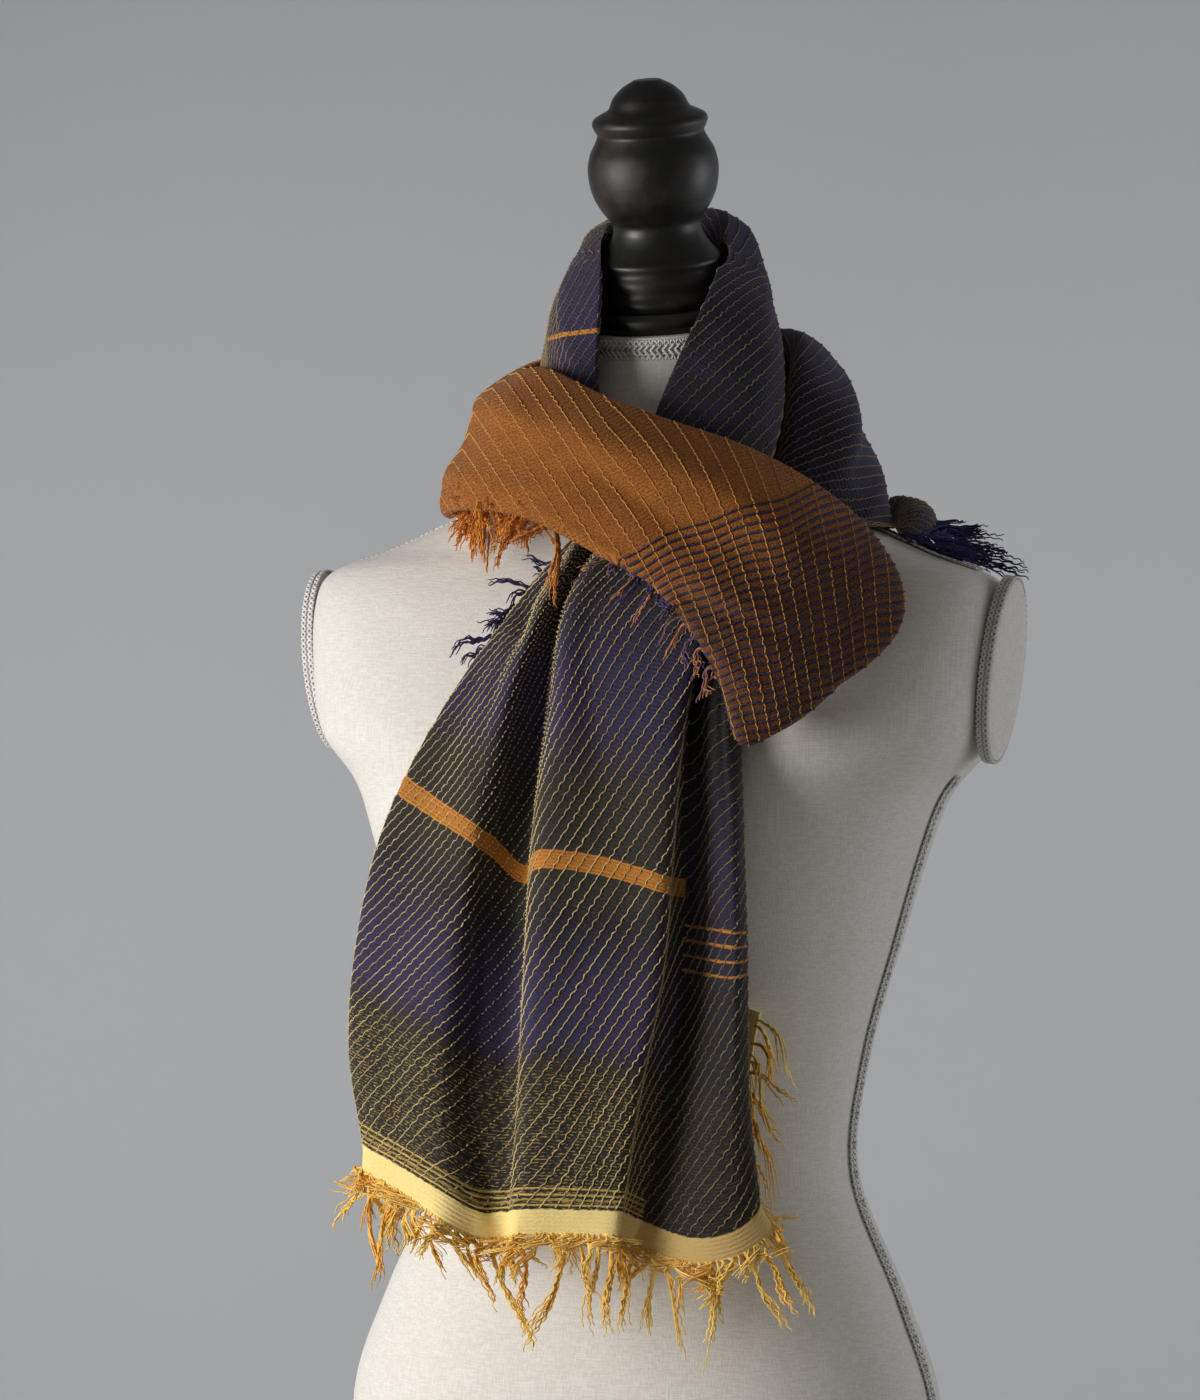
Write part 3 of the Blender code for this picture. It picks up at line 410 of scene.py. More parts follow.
class Finish:
    """One procedural material, built from its nodes."""

    def __init__(self, name, roughness, **constants):
        self.material = bpy.data.materials.new(name)
        self.material.use_nodes = True
        self.tree = self.material.node_tree
        self.shader = self.tree.nodes["Principled BSDF"]
        self.shader.inputs["Roughness"].default_value = roughness
        for socket, value in constants.items():
            self.shader.inputs[socket.replace("_", " ").title()].default_value = value

    def plug(self, socket, value):
        if isinstance(value, bpy.types.NodeSocket):
            self.tree.links.new(value, socket)
        elif hasattr(value, "__len__") and len(value) < len(socket.default_value):
            socket.default_value = (*value, 1)
        else:
            socket.default_value = value

    def node(self, kind, *values, output=0, **settings):
        """A node of a kind with its settings, and its inputs plugged in order; gives an output."""
        made = self.tree.nodes.new("ShaderNode" + kind)
        for name, value in settings.items():
            setattr(made, name, value)
        for socket, value in zip(made.inputs, values):
            if value is not None:
                self.plug(socket, value)
        return made.outputs[output]

    def measure(self, name):
        """A number that the mesh carries at its points."""
        return self.node("Attribute", attribute_name=name, output=2)

    def maths(self, what, *values):
        return self.node("Math", *values, operation=what)

    def times(self, first, *others):
        for other in others:
            first = self.maths("MULTIPLY", first, other)
        return first

    def wave(self, value, period, how="SINE"):
        return self.maths(how, self.times(value, 2 * math.pi / period))

    def where(self, *scales):
        """Places on the piece, in metres, or stretched by a scale for each axis."""
        place = self.node("TexCoord", output=3)
        return self.node("Mapping", place, None, None, scales) if scales else place

    def noise(self, vector, scale, detail=2.0, rough=0.5):
        made = self.tree.nodes.new("ShaderNodeTexNoise")
        self.plug(made.inputs["Vector"], vector)
        for name, value in (("Scale", scale), ("Detail", detail), ("Roughness", rough)):
            made.inputs[name].default_value = value
        return made.outputs["Fac"]

    def band(self, value, low, high, before=0.0, after=1.0, how="SMOOTHSTEP"):
        """A smooth step from before to after as the value goes from low to high."""
        made = self.tree.nodes.new("ShaderNodeMapRange")
        made.interpolation_type = how
        for name, number in (("Value", value), ("From Min", low), ("From Max", high), ("To Min", before),
                             ("To Max", after)):
            self.plug(made.inputs[name], number)
        return made.outputs["Result"]

    def blend(self, share, first, second, how="MIX"):
        made = self.tree.nodes.new("ShaderNodeMix")
        made.data_type = "RGBA"
        made.blend_type = how
        for k, value in ((0, share), (6, first), (7, second)):
            self.plug(made.inputs[k], value)
        return made.outputs[2]

    def tint(self, base, value, low, high, share, dye):
        """Blends up to a share of a dye into a base as the value goes from low to high."""
        return self.blend(self.band(value, low, high, 0.0, share), base, dye)

    def zones(self, value, stops):
        """Colours by a measure: each stop is where its colour starts, and how far the change takes."""
        low, high = stops[0][0], stops[-1][0] + LAST_ZONE
        made = self.tree.nodes.new("ShaderNodeValToRGB")
        ramp = made.color_ramp
        places = [(low, stops[0][2])]
        for (start, change, dye), before in zip(stops[1:], stops[:-1]):
            places += [(start - change / 2, before[2]), (start + change / 2, dye)]
        while len(ramp.elements) < len(places):
            ramp.elements.new(1.0)
        for element, (where, dye) in zip(ramp.elements, places):
            element.position = (where - low) / (high - low)
            element.color = (*dye, 1)
        self.plug(made.inputs[0], self.band(value, low, high, how="LINEAR"))
        return made.outputs[0]

    def done(self, base, height=None, strength=0.5, distance=0.4):
        """Plugs in the base colour, and a bump from a height in millimetres."""
        self.plug(self.shader.inputs["Base Color"], base)
        if height is not None:
            bump = self.tree.nodes.new("ShaderNodeBump")
            bump.inputs["Strength"].default_value = strength
            bump.inputs["Distance"].default_value = distance * MM
            self.plug(bump.inputs["Height"], height)
            self.plug(self.shader.inputs["Normal"], bump.outputs["Normal"])
        return self.material


class Woven(Finish):
    """A material of cloth whose mesh carries the distance in millimetres along its warp and its weft."""

    def __init__(self, name, roughness, **constants):
        super().__init__(name, roughness, **constants)
        self.warp, self.weft = self.measure("warp"), self.measure("weft")

    def streaks(self, kind):
        """Noise drawn out along the weft, as unevenly dyed yarn weaves it."""
        place = self.node("CombineXYZ", self.times(self.warp, kind.across), self.times(self.weft, kind.along),
                          kind.seed)
        return self.noise(place, 1.0, kind.detail)

    def weave(self, rib):
        """Height of the weft's ribs, broken by the fine warp between the pale lines."""
        ribs = self.times(self.wave(self.weft, rib), self.band(self.streaks(WANDER), 0.3, 0.7, 0.1, 0.5))
        return self.maths("ADD", ribs, self.times(self.streaks(GRAIN), 1.2))


def canvas_finish(look):
    """Off-white linen: fine upright and level threads with slubs."""
    f = Finish("linen_canvas", 0.9, sheen_weight=0.15)
    upright = f.noise(f.where(1300, 1300, 45), 1.0)
    level = f.noise(f.where(140, 140, 1500), 1.0)
    threads = f.maths("ADD", upright, level)
    base = f.blend(f.band(threads, 0.78, 1.25, 0.25, 1.0), look.slub, look.canvas)
    base = f.tint(base, f.noise(f.where(), 9.0), 0.35, 0.7, 0.10, look.slub)
    return f.done(base, threads, 0.35, 0.5)


def wood_finish(look):
    """Ebonised turned wood, satin where it has been handled."""
    f = Finish("ebonised_wood", 0.42, coat_weight=0.05, coat_roughness=0.3)
    worn = f.noise(f.where(), 26.0, 5.0, 0.62)
    ring = f.noise(f.where(14, 14, 420), 1.0, 3.0)
    base = f.blend(f.band(worn, 0.5, 0.75, 0.0, 0.8), look.wood, look.worn)
    base = f.tint(base, ring, 0.55, 0.8, 0.35, look.worn)
    f.plug(f.shader.inputs["Roughness"], f.band(worn, 0.3, 0.75, 0.34, 0.58))
    return f.done(base, f.maths("ADD", ring, worn), 0.12, 0.4)


def gimp_finish(look):
    """White rayon cord with a soft shine and a little random grey; the backing that shows between its cords
    is greyed as painted shade.
    """
    f = Finish("white_gimp", 0.42, sheen_weight=0.2)
    base = f.tint(look.gimp, f.noise(f.where(), 60.0), 0.35, 0.75, 0.22, tone(176, 172, 168))
    # painted shade: the backing, where tone is low, is greyed as the shade between the cords
    base = f.blend(f.band(f.measure("tone"), 0.2, 0.3), tone(186, 182, 178), base)
    return f.done(base, f.noise(f.where(), 2600.0, 1.0), 0.25, 0.2)


def blue_finish(look, name, stops, panel_stops=None):
    """The shawl's blue cloth, dyed in zones along its length.

    Only the hanging end has panel_stops, the zones of its turned panel.
    """
    f = Woven(name, 0.88, sheen_weight=0.12, sheen_roughness=0.5)
    ragged, fine = f.streaks(RAGGED), f.streaks(FINE)
    edge = f.maths("ADD", f.weft, f.band(ragged, 0.2, 0.8, -7.0, 7.0))
    ground = f.zones(edge, stops)
    if panel_stops:
        ground = f.blend(f.measure("panel"), ground, f.zones(edge, panel_stops))
    else:
        ground = f.tint(ground, f.streaks(CLOUDY), 0.35, 0.68, 0.3, look.violet)
    ground = f.tint(ground, fine, 0.35, 0.7, 0.5, look.soot)
    ground = f.tint(ground, f.streaks(LIGHT), 0.55, 0.8, 0.22, look.dash)
    if panel_stops:
        ground = tail_patterns(f, look, ground, edge, ragged, fine)
    else:
        away = f.maths("ABSOLUTE", f.measure("mark"))
        ground = f.blend(f.band(away, *STRIPE_HALF, 1.0, 0.0), ground, look.orange)
    return f.done(ground, f.weave(2.3), 0.75, 0.5)


def tail_patterns(f, look, ground, edge, ragged, fine):
    """Weaves the dashes, bands and hem of the hanging end into its ground, and darkens its turned panel with
    painted shade.
    """
    panel = f.measure("panel")
    # on the turned panel the dashes thin to 0.35, partly because its weave has fewer and partly as painted
    # shade
    dashes = f.times(f.band(f.streaks(SPECK), 0.50, 0.62),
                     f.band(edge, DASH_TOP - DASH_FADE, DASH_TOP, 1.0, 0.0),
                     f.band(f.wave(f.weft, 1.9), -0.5, 0.4), f.band(panel, 0.0, 1.0, 1.0, 0.35))
    ground = f.blend(dashes, ground, look.dash)
    # painted shade: the turned panel is darkened towards soot
    ground = f.tint(ground, panel, 0.0, 1.0, 0.45, look.soot)
    crisp = f.maths("ADD", f.weft, f.band(ragged, 0.2, 0.8, -0.5, 0.5))
    grain = f.times(f.band(f.wave(f.weft, 2.0), 0.0, 1.0, 0.15, 0.7), f.band(fine, 0.25, 0.7, 0.3, 1.0))
    only = {"panel": [panel], "main": [f.maths("SUBTRACT", 1.0, panel)], "all": []}
    for low, high, dye, shade, where in TAIL_BANDS:
        share = f.times(f.band(crisp, low - 0.4, low + 0.4), f.band(crisp, high - 0.4, high + 0.4, 1.0, 0.0),
                        *only[where])
        mottled = f.blend(grain, getattr(look, dye), getattr(look, shade))
        # painted shade: on the turned panel the hem is dimmed towards a darker gold
        if where == "all":
            mottled = f.tint(mottled, panel, 0.0, 1.0, 0.6, tone(176, 134, 74))
        ground = f.blend(share, ground, mottled)
    return ground


def amber_finish(look):
    """The front wrap's cloth: plain amber at one end, brown between checks at the other."""
    f = Woven("amber_cloth", 0.92, sheen_weight=0.04, sheen_roughness=0.5)
    fine = f.streaks(AMBER_FINE)
    base = f.blend(f.band(fine, 0.38, 0.6), look.rust, look.amber)
    base = f.tint(base, f.streaks(AMBER_BROAD), 0.4, 0.7, 0.32, look.rust)
    brown = f.blend(f.band(fine, 0.36, 0.66), tone(70, 38, 26), look.brown)
    base = f.tint(base, f.weft, 0.0, CHECK_FADE, 0.85, brown)
    rows = f.wave(f.weft, look.weft_pitch / MM, "COSINE")
    ends = f.wave(f.warp, look.pitch / MM * WRAP_PITCH, "COSINE")
    dark = f.times(f.band(rows, 0.15, 0.5), f.band(ends, 0.82, 0.6), f.band(f.weft, -1.5, 0.5), 0.9)
    base = f.blend(dark, base, tone(30, 18, 30))
    return f.done(base, f.weave(2.4), 0.85, 0.55)


def yarn_finish(name, first, second, third=None):
    """Loose woollen yarn, its colour uneven from strand to strand and along each."""
    f = Finish(name, 0.85, sheen_weight=0.1, sheen_roughness=0.4)
    own = f.measure("tone")
    mixed = f.maths("ADD", f.times(own, 0.7), f.times(f.noise(f.where(), 160), 0.6))
    base = f.blend(f.band(mixed, 0.25, 0.95), first, second)
    if third:
        base = f.blend(f.band(own, 0.62, 0.7), base, third)
    return f.done(base, f.noise(f.where(), 1500, 1.0), 0.4, 0.3)


def plain_finish(name, dye, scale):
    """Matt paint with a faint unevenness, clear from behind so that the part can be looked at from there."""
    f = Finish(name, 0.9)
    cloudy = f.noise(f.where(), scale, 3.0)
    f.plug(f.shader.inputs["Alpha"], f.maths("SUBTRACT", 1.0, f.node("NewGeometry", output="Backfacing")))
    base = f.tint(tuple(dye), cloudy, 0.3, 0.7, 0.06, tuple(0.8 * c for c in dye))
    return f.done(base, cloudy, 0.05, 1.0)


# ---------------------------------------------------------------- meshes
def mesh_piece(name, points, faces, material, measures=None, smooth=None):
    """One shown piece from points in millimetres, riding on the form."""
    mesh = bpy.data.meshes.new(name)
    mesh.from_pydata((np.asarray(points, float).reshape(-1, 3) * MM).tolist(), [], faces)
    mesh.shade_smooth()
    if smooth:
        mesh.set_sharp_from_angle(angle=math.radians(smooth))
    for word, values in (measures or {}).items():
        layer = mesh.attributes.new(word, "FLOAT", "POINT")
        layer.data.foreach_set("value", np.asarray(values, np.float32).ravel())
    mesh.materials.append(material)
    mesh.update()
    piece = bpy.data.objects.new(name, mesh)
    bpy.context.scene.collection.objects.link(piece)
    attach(piece, BODY)
    return piece


def quads(rows, columns, start=0, closed=False):
    """Faces of a grid of points; closed joins the last column to the first."""
    found = []
    for r in range(rows - 1):
        for c in range(columns if closed else columns - 1):
            d = (c + 1) % columns
            found.append([start + v for v in (r * columns + c, r * columns + d,
                                              (r + 1) * columns + d, (r + 1) * columns + c)])
    return found


def shell(name, face, lining, material, measures):
    """A stretch of cloth as a thin closed shell between two grids of points."""
    rows, columns = face.shape[:2]
    skip = rows * columns
    border = [r * columns for r in range(rows)]
    border += [(rows - 1) * columns + c for c in range(1, columns)]
    border += [r * columns + columns - 1 for r in range(rows - 2, -1, -1)]
    border += list(range(columns - 2, 0, -1))
    faces = quads(rows, columns) + [quad[::-1] for quad in quads(rows, columns, skip)]
    faces += [[a, b, b + skip, a + skip] for a, b in zip(border, border[1:] + border[:1])]
    middle = face[rows // 2, columns // 2]
    outward = np.cross(face[rows // 2 + 1, columns // 2] - middle, face[rows // 2, columns // 2 + 1] - middle)
    if outward @ (middle - lining[rows // 2, columns // 2]) > 0:
        faces = [quad[::-1] for quad in faces]
    doubled = {word: np.concatenate([values.ravel()] * 2) for word, values in measures.items()}
    points = np.concatenate([face.reshape(-1, 3), lining.reshape(-1, 3)])
    return mesh_piece(name, points, faces, material, doubled)


class Tubes:
    """Yarns gathered into one mesh."""

    def __init__(self, sides=3):
        self.sides = sides
        self.points, self.faces, self.tones, self.count = [], [], [], 0

    def add(self, line, radius, tone_value, up):
        """A yarn along a line; its radius, tone and way up are for all of it or one for each point."""
        line = np.asarray(line, float)
        way = unit(np.gradient(line, axis=0))
        side = unit(np.cross(way, up))
        top = np.cross(side, way)
        radius = np.broadcast_to(np.asarray(radius, float), (len(line),))[:, None]
        turns = [2 * math.pi * k / self.sides for k in range(self.sides)]
        ring = np.stack([line + radius * (top * math.cos(a) + side * math.sin(a)) for a in turns], 1)
        self.join(len(line))
        self.keep(ring, np.broadcast_to(tone_value, (len(line),)))

    def join(self, rings, ends=True):
        """Faces between the rings that are kept next, and over their ends."""
        self.faces += quads(rings, self.sides, self.count, closed=True)
        if ends:
            first, last = self.count, self.count + (rings - 1) * self.sides
            self.faces += [list(range(first, first + self.sides))[::-1], list(range(last, last + self.sides))]

    def keep(self, rings, tones):
        """Adds the points of some rings, each with its tone."""
        self.points.append(rings.reshape(-1, 3))
        self.tones.append(np.repeat(tones, self.sides))
        self.count += len(rings) * self.sides

    def make(self, name, material):
        return mesh_piece(name, np.concatenate(self.points), self.faces, material,
                          {"tone": np.concatenate(self.tones)})


class Ground:
    """The surface of some bodies, for trim and cloth to lie on."""

    def __init__(self, *bodies):
        corners, faces = [], []
        for body in bodies:
            skip = len(corners)
            corners += [vertex.co / MM for vertex in body.data.vertices]
            faces += [[skip + v for v in face.vertices] for face in body.data.polygons]
        self.tree = BVHTree.FromPolygons(corners, faces)

    def hit(self, start, way):
        place, normal, _, _ = self.tree.ray_cast(Vector(start), Vector(way))
        return np.array(place), np.array(normal)

    def lift(self, grid, clearance, deepest=DEEPEST):
        """Moves points that are inside, or nearer than the clearance, out to it."""
        flat = grid.reshape(-1, 3).copy()
        for k, point in enumerate(flat):
            place, normal, _, distance = self.tree.find_nearest(Vector(point))
            if distance > deepest:
                continue
            away = Vector(point) - place
            if away.dot(normal) < -INSIDE * distance:
                flat[k] = np.array(place + normal * clearance)
            elif distance < clearance:
                flat[k] = np.array(place + (away.normalized() if distance > SEAM else normal) * clearance)
        return flat.reshape(grid.shape)


# ---------------------------------------------------------------- dress form
TORSO_ROWS, TORSO_SIDES = 130, 144
WOOD_SIDES = 72
PLATE_SIDES = 96
WOOD_STEPS = 5                 # points between two of a turned profile
WOOD_EASED = 3                 # how often its corners are eased


def form_ring(row, angles):
    z, half, front, back, lean, power = row
    c, s = np.cos(angles), np.sin(angles)
    x = half * np.sign(c) * np.abs(c) ** (2 / power)
    y = np.where(s < 0, front, back) * np.sign(s) * np.abs(s) ** (2 / power)
    tilt = math.radians(lean)
    return np.stack([x, y * math.cos(tilt), z + y * math.sin(tilt)], -1)


def make_torso(material):
    angles = np.linspace(0, 2 * math.pi, TORSO_SIDES, endpoint=False)
    rows = spline(FORM, np.linspace(0, 1, TORSO_ROWS))
    points = np.concatenate([form_ring(row, angles) for row in rows])
    faces = quads(TORSO_ROWS, TORSO_SIDES, closed=True)
    last = (TORSO_ROWS - 1) * TORSO_SIDES
    faces += [list(range(TORSO_SIDES))[::-1], list(range(last, last + TORSO_SIDES))]
    torso = mesh_piece("canvas_torso", points, faces, material, smooth=40)
    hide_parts("torso")
    return torso


def turned(name, node, profile, material, foot=Vector((0, 0, 0)), lean=0.0):
    """A body turned about an axis that leans forward from its foot; it runs close round its profile."""
    profile = [row for row in profile if row[1] > 0]
    fine = [profile[0]]
    for a, b in zip(profile, profile[1:]):
        a, b = np.array(a), np.array(b)
        fine += [a + (b - a) * k / WOOD_STEPS for k in range(1, WOOD_STEPS + 1)]
    eased = np.array(fine)
    for _ in range(WOOD_EASED):
        eased[1:-1] = (eased[:-2] + 2 * eased[1:-1] + eased[2:]) / 4
    angles = np.linspace(0, 2 * math.pi, WOOD_SIDES, endpoint=False)
    points = [(r * math.cos(a), r * math.sin(a), h) for h, r in eased for a in angles]
    faces = [quad[::-1] for quad in quads(len(eased), WOOD_SIDES, closed=True)]
    last = (len(eased) - 1) * WOOD_SIDES
    faces += [list(range(WOOD_SIDES)), list(range(last, last + WOOD_SIDES))[::-1]]
    x, y, z = np.moveaxis(np.array(points, float), -1, 0)
    c, s = math.cos(lean), math.sin(lean)
    points = np.stack([x, y * c - z * s, y * s + z * c], -1) + np.array(foot)
    piece = mesh_piece(name, points, faces, material, smooth=35)
    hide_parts(node)
    return piece


def plate_ring(side, grown, out):
    """Points round an arm plate, grown by a distance, at a distance out from its face."""
    angles = np.linspace(0, 2 * math.pi, PLATE_SIDES, endpoint=False)
    y = (PLATE_HALF_DEPTH + grown) * np.cos(angles)
    z = (PLATE_HALF_HEIGHT + grown) * np.sin(angles)
    c, s = math.cos(PLATE_LEAN), math.sin(PLATE_LEAN)
    x = PLATE_MIDDLE[0] + out * c + z * s
    return np.stack([side * x, y, PLATE_MIDDLE[1] + z * c - out * s], -1)


def make_arm_plate(side, word, material):
    """A flat canvas-covered oval with a rounded edge."""
    edge = ((0, -PLATE_THICK), (0, -1.6), (0.5, -0.5), (1.6, 0), (9.6, 0), (19.6, 0), (29.6, 0))
    rings = [plate_ring(side, -inset, out) for inset, out in edge]
    count = len(rings[0])
    faces = quads(len(rings), count, closed=True) + [list(range(count))[::-1]]
    faces.append(list(range((len(rings) - 1) * count, len(rings) * count)))
    if side > 0:
        faces = [face[::-1] for face in faces]
    piece = mesh_piece("canvas_plate_" + word, np.concatenate(rings), faces, material, smooth=40)
    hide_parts("arm_plate_" + word)


# ---------------------------------------------------------------- gimp
LOOP_CORNERS = np.linspace(0, 2 * math.pi, 10)
# tone that marks the gimp's backing, which its finish greys as painted shade between the cords
BACKING_TONE = 0.2


def evenly(line, step, closed=False):
    """Points at even steps along a line."""
    line = np.asarray(line, float)
    if closed:
        line = np.concatenate([line, line[:1]])
    run = arc(line, 0)
    count = max(2, int(round(run[-1] / step)))
    at = np.linspace(0, run[-1], count + 1)
    made = np.stack([np.interp(at, run, line[:, k]) for k in range(line.shape[1])], -1)
    return made[:-1] if closed else made


def make_gimp(name, node, line, out, form, material, closed=False, narrow=False):
    """Flat braid along a line: a row of small loops at each edge and a plait of strokes between.

    out holds the way out from the canvas at each point of the line. Narrow gimp has no plait.
    """
    pitch, cord = form.gimp_pitch / MM, form.gimp_cord / MM / 2
    if narrow:
        offset, reach = RIM_WIDTH / 4, RIM_WIDTH / 4 - cord
        low, high, half = 0.02, 0.5, RIM_WIDTH / 2 - 0.9
    else:
        offset, reach = TRIM_WIDTH / 2 - cord - pitch * 0.48, pitch * 0.5
        low, high, half = 0.05, 0.55, TRIM_WIDTH / 2 - pitch * 0.75
    path = evenly(np.concatenate([line, out], 1), pitch, closed)
    line, out = path[:, :3], unit(path[:, 3:])
    way = unit(np.roll(line, -1, 0) - np.roll(line, 1, 0) if closed else np.gradient(line, axis=0))
    side = unit(np.cross(out, way))
    tubes = Tubes(4)
    for k, (point, up, along, across) in enumerate(zip(line, out, way, side)):
        for edge in (-1, 1):
            middle = point + across * edge * offset + along * pitch * 0.25 * edge + up * cord
            loop = [middle + across * edge * math.cos(a) * reach + along * math.sin(a) * pitch * 0.42
                    for a in LOOP_CORNERS]
            tubes.add(loop, cord * 0.92, 0.5 + 0.3 * math.sin(2.1 * k + edge), up)
            if not narrow:
                root = point + up * (cord * 1.4) - along * pitch * 0.5
                stroke = spline([root + across * edge * 0.2,
                                 root + across * edge * 1.6 + along * pitch * 0.55 + up * cord * 0.6,
                                 root + across * edge * 3.3 + along * pitch * 0.95], np.linspace(0, 1, 5))
                tubes.add(stroke, cord * 0.95, 0.5 + 0.3 * math.sin(1.3 * k), up)
    if closed:
        line, out, side = (np.concatenate([part, part[:1]]) for part in (line, out, side))
    low, high = line + out * low, line + out * high
    tubes.join(len(line), ends=not closed)
    tubes.keep(np.stack([low - side * half, low + side * half, high + side * half, high - side * half], 1),
               np.full(len(line), BACKING_TONE))
    piece = tubes.make(name, material)
    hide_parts(node)
    return piece


def ray_line(ground, starts, way):
    """A line on the canvas and its normals, where rays from the starts meet it."""
    places, out = (np.array(part) for part in zip(*(ground.hit(start, way) for start in starts)))
    return places + out * TRIM_REST, out


def make_form_gimp(ground, form, material):
    axis = np.array([0, -math.sin(NECK_LEAN), math.cos(NECK_LEAN)])
    angles = np.linspace(0, 2 * math.pi, 96, endpoint=False)
    ring = form_ring(FORM[-1], angles) - axis * (1 + TRIM_WIDTH / 2)
    lifted = ground.lift(ring, TRIM_REST)
    out = unit(lifted - np.mean(lifted, 0))
    out = unit(out - axis * (out @ axis)[:, None])
    make_gimp("neck_gimp", "neck_braid", lifted, out, form, material, closed=True)
    for side, word in SIDES:
        seam = [(side * 300, 0, z) for z in np.linspace(SEAM_FOOT, SEAM_TOP, 60)]
        top = [(side * x, 0, 800) for x in np.linspace(*SHOULDER_BRAID, 30)]
        for part, starts, way in (("side", seam, (-side, 0, 0)), ("shoulder", top, (0, 0, -1))):
            make_gimp(part + "_gimp_" + word, part + "_braid_" + word, *ray_line(ground, starts, way), form,
                      material)
        rim = plate_ring(side, SEAM, -RIM_WIDTH / 2)
        out = unit(plate_ring(side, SEAM + 2, -RIM_WIDTH / 2) - rim)
        make_gimp("arm_gimp_" + word, "arm_braid_" + word, rim, out, form, material, closed=True, narrow=True)


# ---------------------------------------------------------------- shawl: nets
def band_net(sections, roll):
    """Rows of eight points: flap, turn, crest, shoulder, belly, low, foot, under."""
    net = []
    for section in sections:
        crest, belly, foot = (np.array(p, float) for p in section[:3])
        out = unit(np.array([belly[0], belly[1], 0.0]))
        up = np.array([0, 0, 1.0])
        swell = np.linalg.norm(belly - crest)
        turn = roll.radius * (0.15 + 0.85 * section.flap)
        drop = np.linalg.norm(belly - foot)
        net.append([
            crest - out * turn * 1.1 - up * roll.flap * (0.3 + 0.7 * section.flap),
            crest - out * turn - up * turn * 0.9,
            crest,
            crest * 0.45 + belly * 0.55 + out * 0.18 * swell + up * 3,
            belly,
            belly * 0.42 + foot * 0.58 + out * 0.10 * drop,
            foot,
            foot - out * roll.under + up * 3,
        ])
    return np.array(net)


def hanging_net(folds, hang):
    """Rows down a hanging sheet, columns across its folds."""
    net = []
    last = len(hang.heights) - 1
    for fold in folds:
        line = []
        for k, height in enumerate(hang.heights):
            share = (k / last) ** 1.5
            depth = hang.depths[k] - fold.proud[k] + TAIL_SLANT * (fold.x[k] - TAIL_MIDDLE)
            line.append((fold.x[k], depth, height + (fold.hem - hang.heights[-1]) * share))
        net.append(line)
    return np.swapaxes(np.array(net, float), 0, 1)


def tuck_net():
    """Rows along the tucked fold, columns round it."""
    beads = TUCK_END + TUCK
    middles = np.array([bead.middle for bead in beads], float)
    along = unit(np.gradient(middles, axis=0))
    up = np.array([0, 0, 1.0])
    net = []
    for bead, middle, way in zip(beads, middles, along):
        out = unit(np.cross(up, way))
        out = out if out[0] > 0 else -out
        net.append([middle + bead.radius * (out * math.cos(a) + up * math.sin(a))
                    for a in np.radians(TUCK_ARC)])
    return np.array(net)


# ---------------------------------------------------------------- shawl: creases
# A soft trough (depth below 0) or ridge between two places of a stretch, each given as its share
# along and across; bow bends it sideways. Widths, depths and bows are in millimetres.
Crease = namedtuple("Crease", "start end width depth bow")
TAIL_CREASES = [
    Crease((0.02, 0.12), (0.40, 0.20), 5.0, -2.2, 3), Crease((0.10, 0.22), (0.62, 0.29), 5.0, 1.8, -4),
    Crease((0.05, 0.30), (0.55, 0.36), 4.0, -2.4, 5), Crease((0.02, 0.38), (0.34, 0.34), 4.5, 2.0, -3),
    Crease((0.16, 0.13), (0.22, 0.19), 8.0, -3.0, 0), Crease((0.45, 0.24), (0.95, 0.31), 6.0, -1.8, 4),
    Crease((0.30, 0.36), (0.98, 0.38), 3.5, -1.6, 2), Crease((0.05, 0.47), (0.42, 0.50), 6.0, -1.5, -5),
    Crease((0.50, 0.50), (0.97, 0.47), 8.0, 1.2, 3), Crease((0.04, 0.56), (0.36, 0.60), 5.0, 1.7, 2),
    Crease((0.35, 0.53), (0.80, 0.56), 7.0, -1.2, -3), Crease((0.02, 0.82), (0.45, 0.84), 5.0, -1.8, 3),
    Crease((0.40, 0.88), (0.92, 0.86), 6.0, 1.4, -2), Crease((0.72, 0.10), (0.98, 0.14), 7.0, 1.6, 0),
    Crease((0.86, 0.30), (0.99, 0.33), 6.0, -2.2, 0), Crease((0.84, 0.52), (0.99, 0.50), 7.0, 1.8, 0),
]
BACK_CREASES = [
    Crease((0.05, 0.15), (0.9, 0.22), 9.0, 1.6, 3), Crease((0.0, 0.5), (0.8, 0.45), 8.0, -1.2, -4),
    Crease((0.2, 0.8), (0.95, 0.86), 7.0, 1.2, 2),
]
COLLAR_CREASES = [
    Crease((0.02, 0.42), (0.42, 0.50), 4.0, -1.6, 4), Crease((0.10, 0.62), (0.52, 0.58), 5.0, 1.5, -3),
    Crease((0.48, 0.40), (0.98, 0.70), 5.0, -1.8, 5), Crease((0.56, 0.62), (0.90, 0.38), 4.0, -1.3, 0),
    Crease((0.60, 0.80), (0.99, 0.86), 4.5, -1.8, -3), Crease((0.30, 0.36), (0.70, 0.40), 6.0, 1.3, 4),
]
SHOULDER_CREASES = [
    Crease((0.0, 0.40), (0.36, 0.55), 6.0, -1.8, 4), Crease((0.05, 0.66), (0.50, 0.72), 5.0, 1.6, -3),
    Crease((0.20, 0.35), (0.62, 0.42), 5.0, -1.5, 3), Crease((0.45, 0.60), (0.98, 0.52), 6.0, -1.9, 5),
    Crease((0.62, 0.38), (0.96, 0.40), 5.0, 1.5, -4), Crease((0.70, 0.80), (0.99, 0.74), 5.0, -1.4, 2),
]
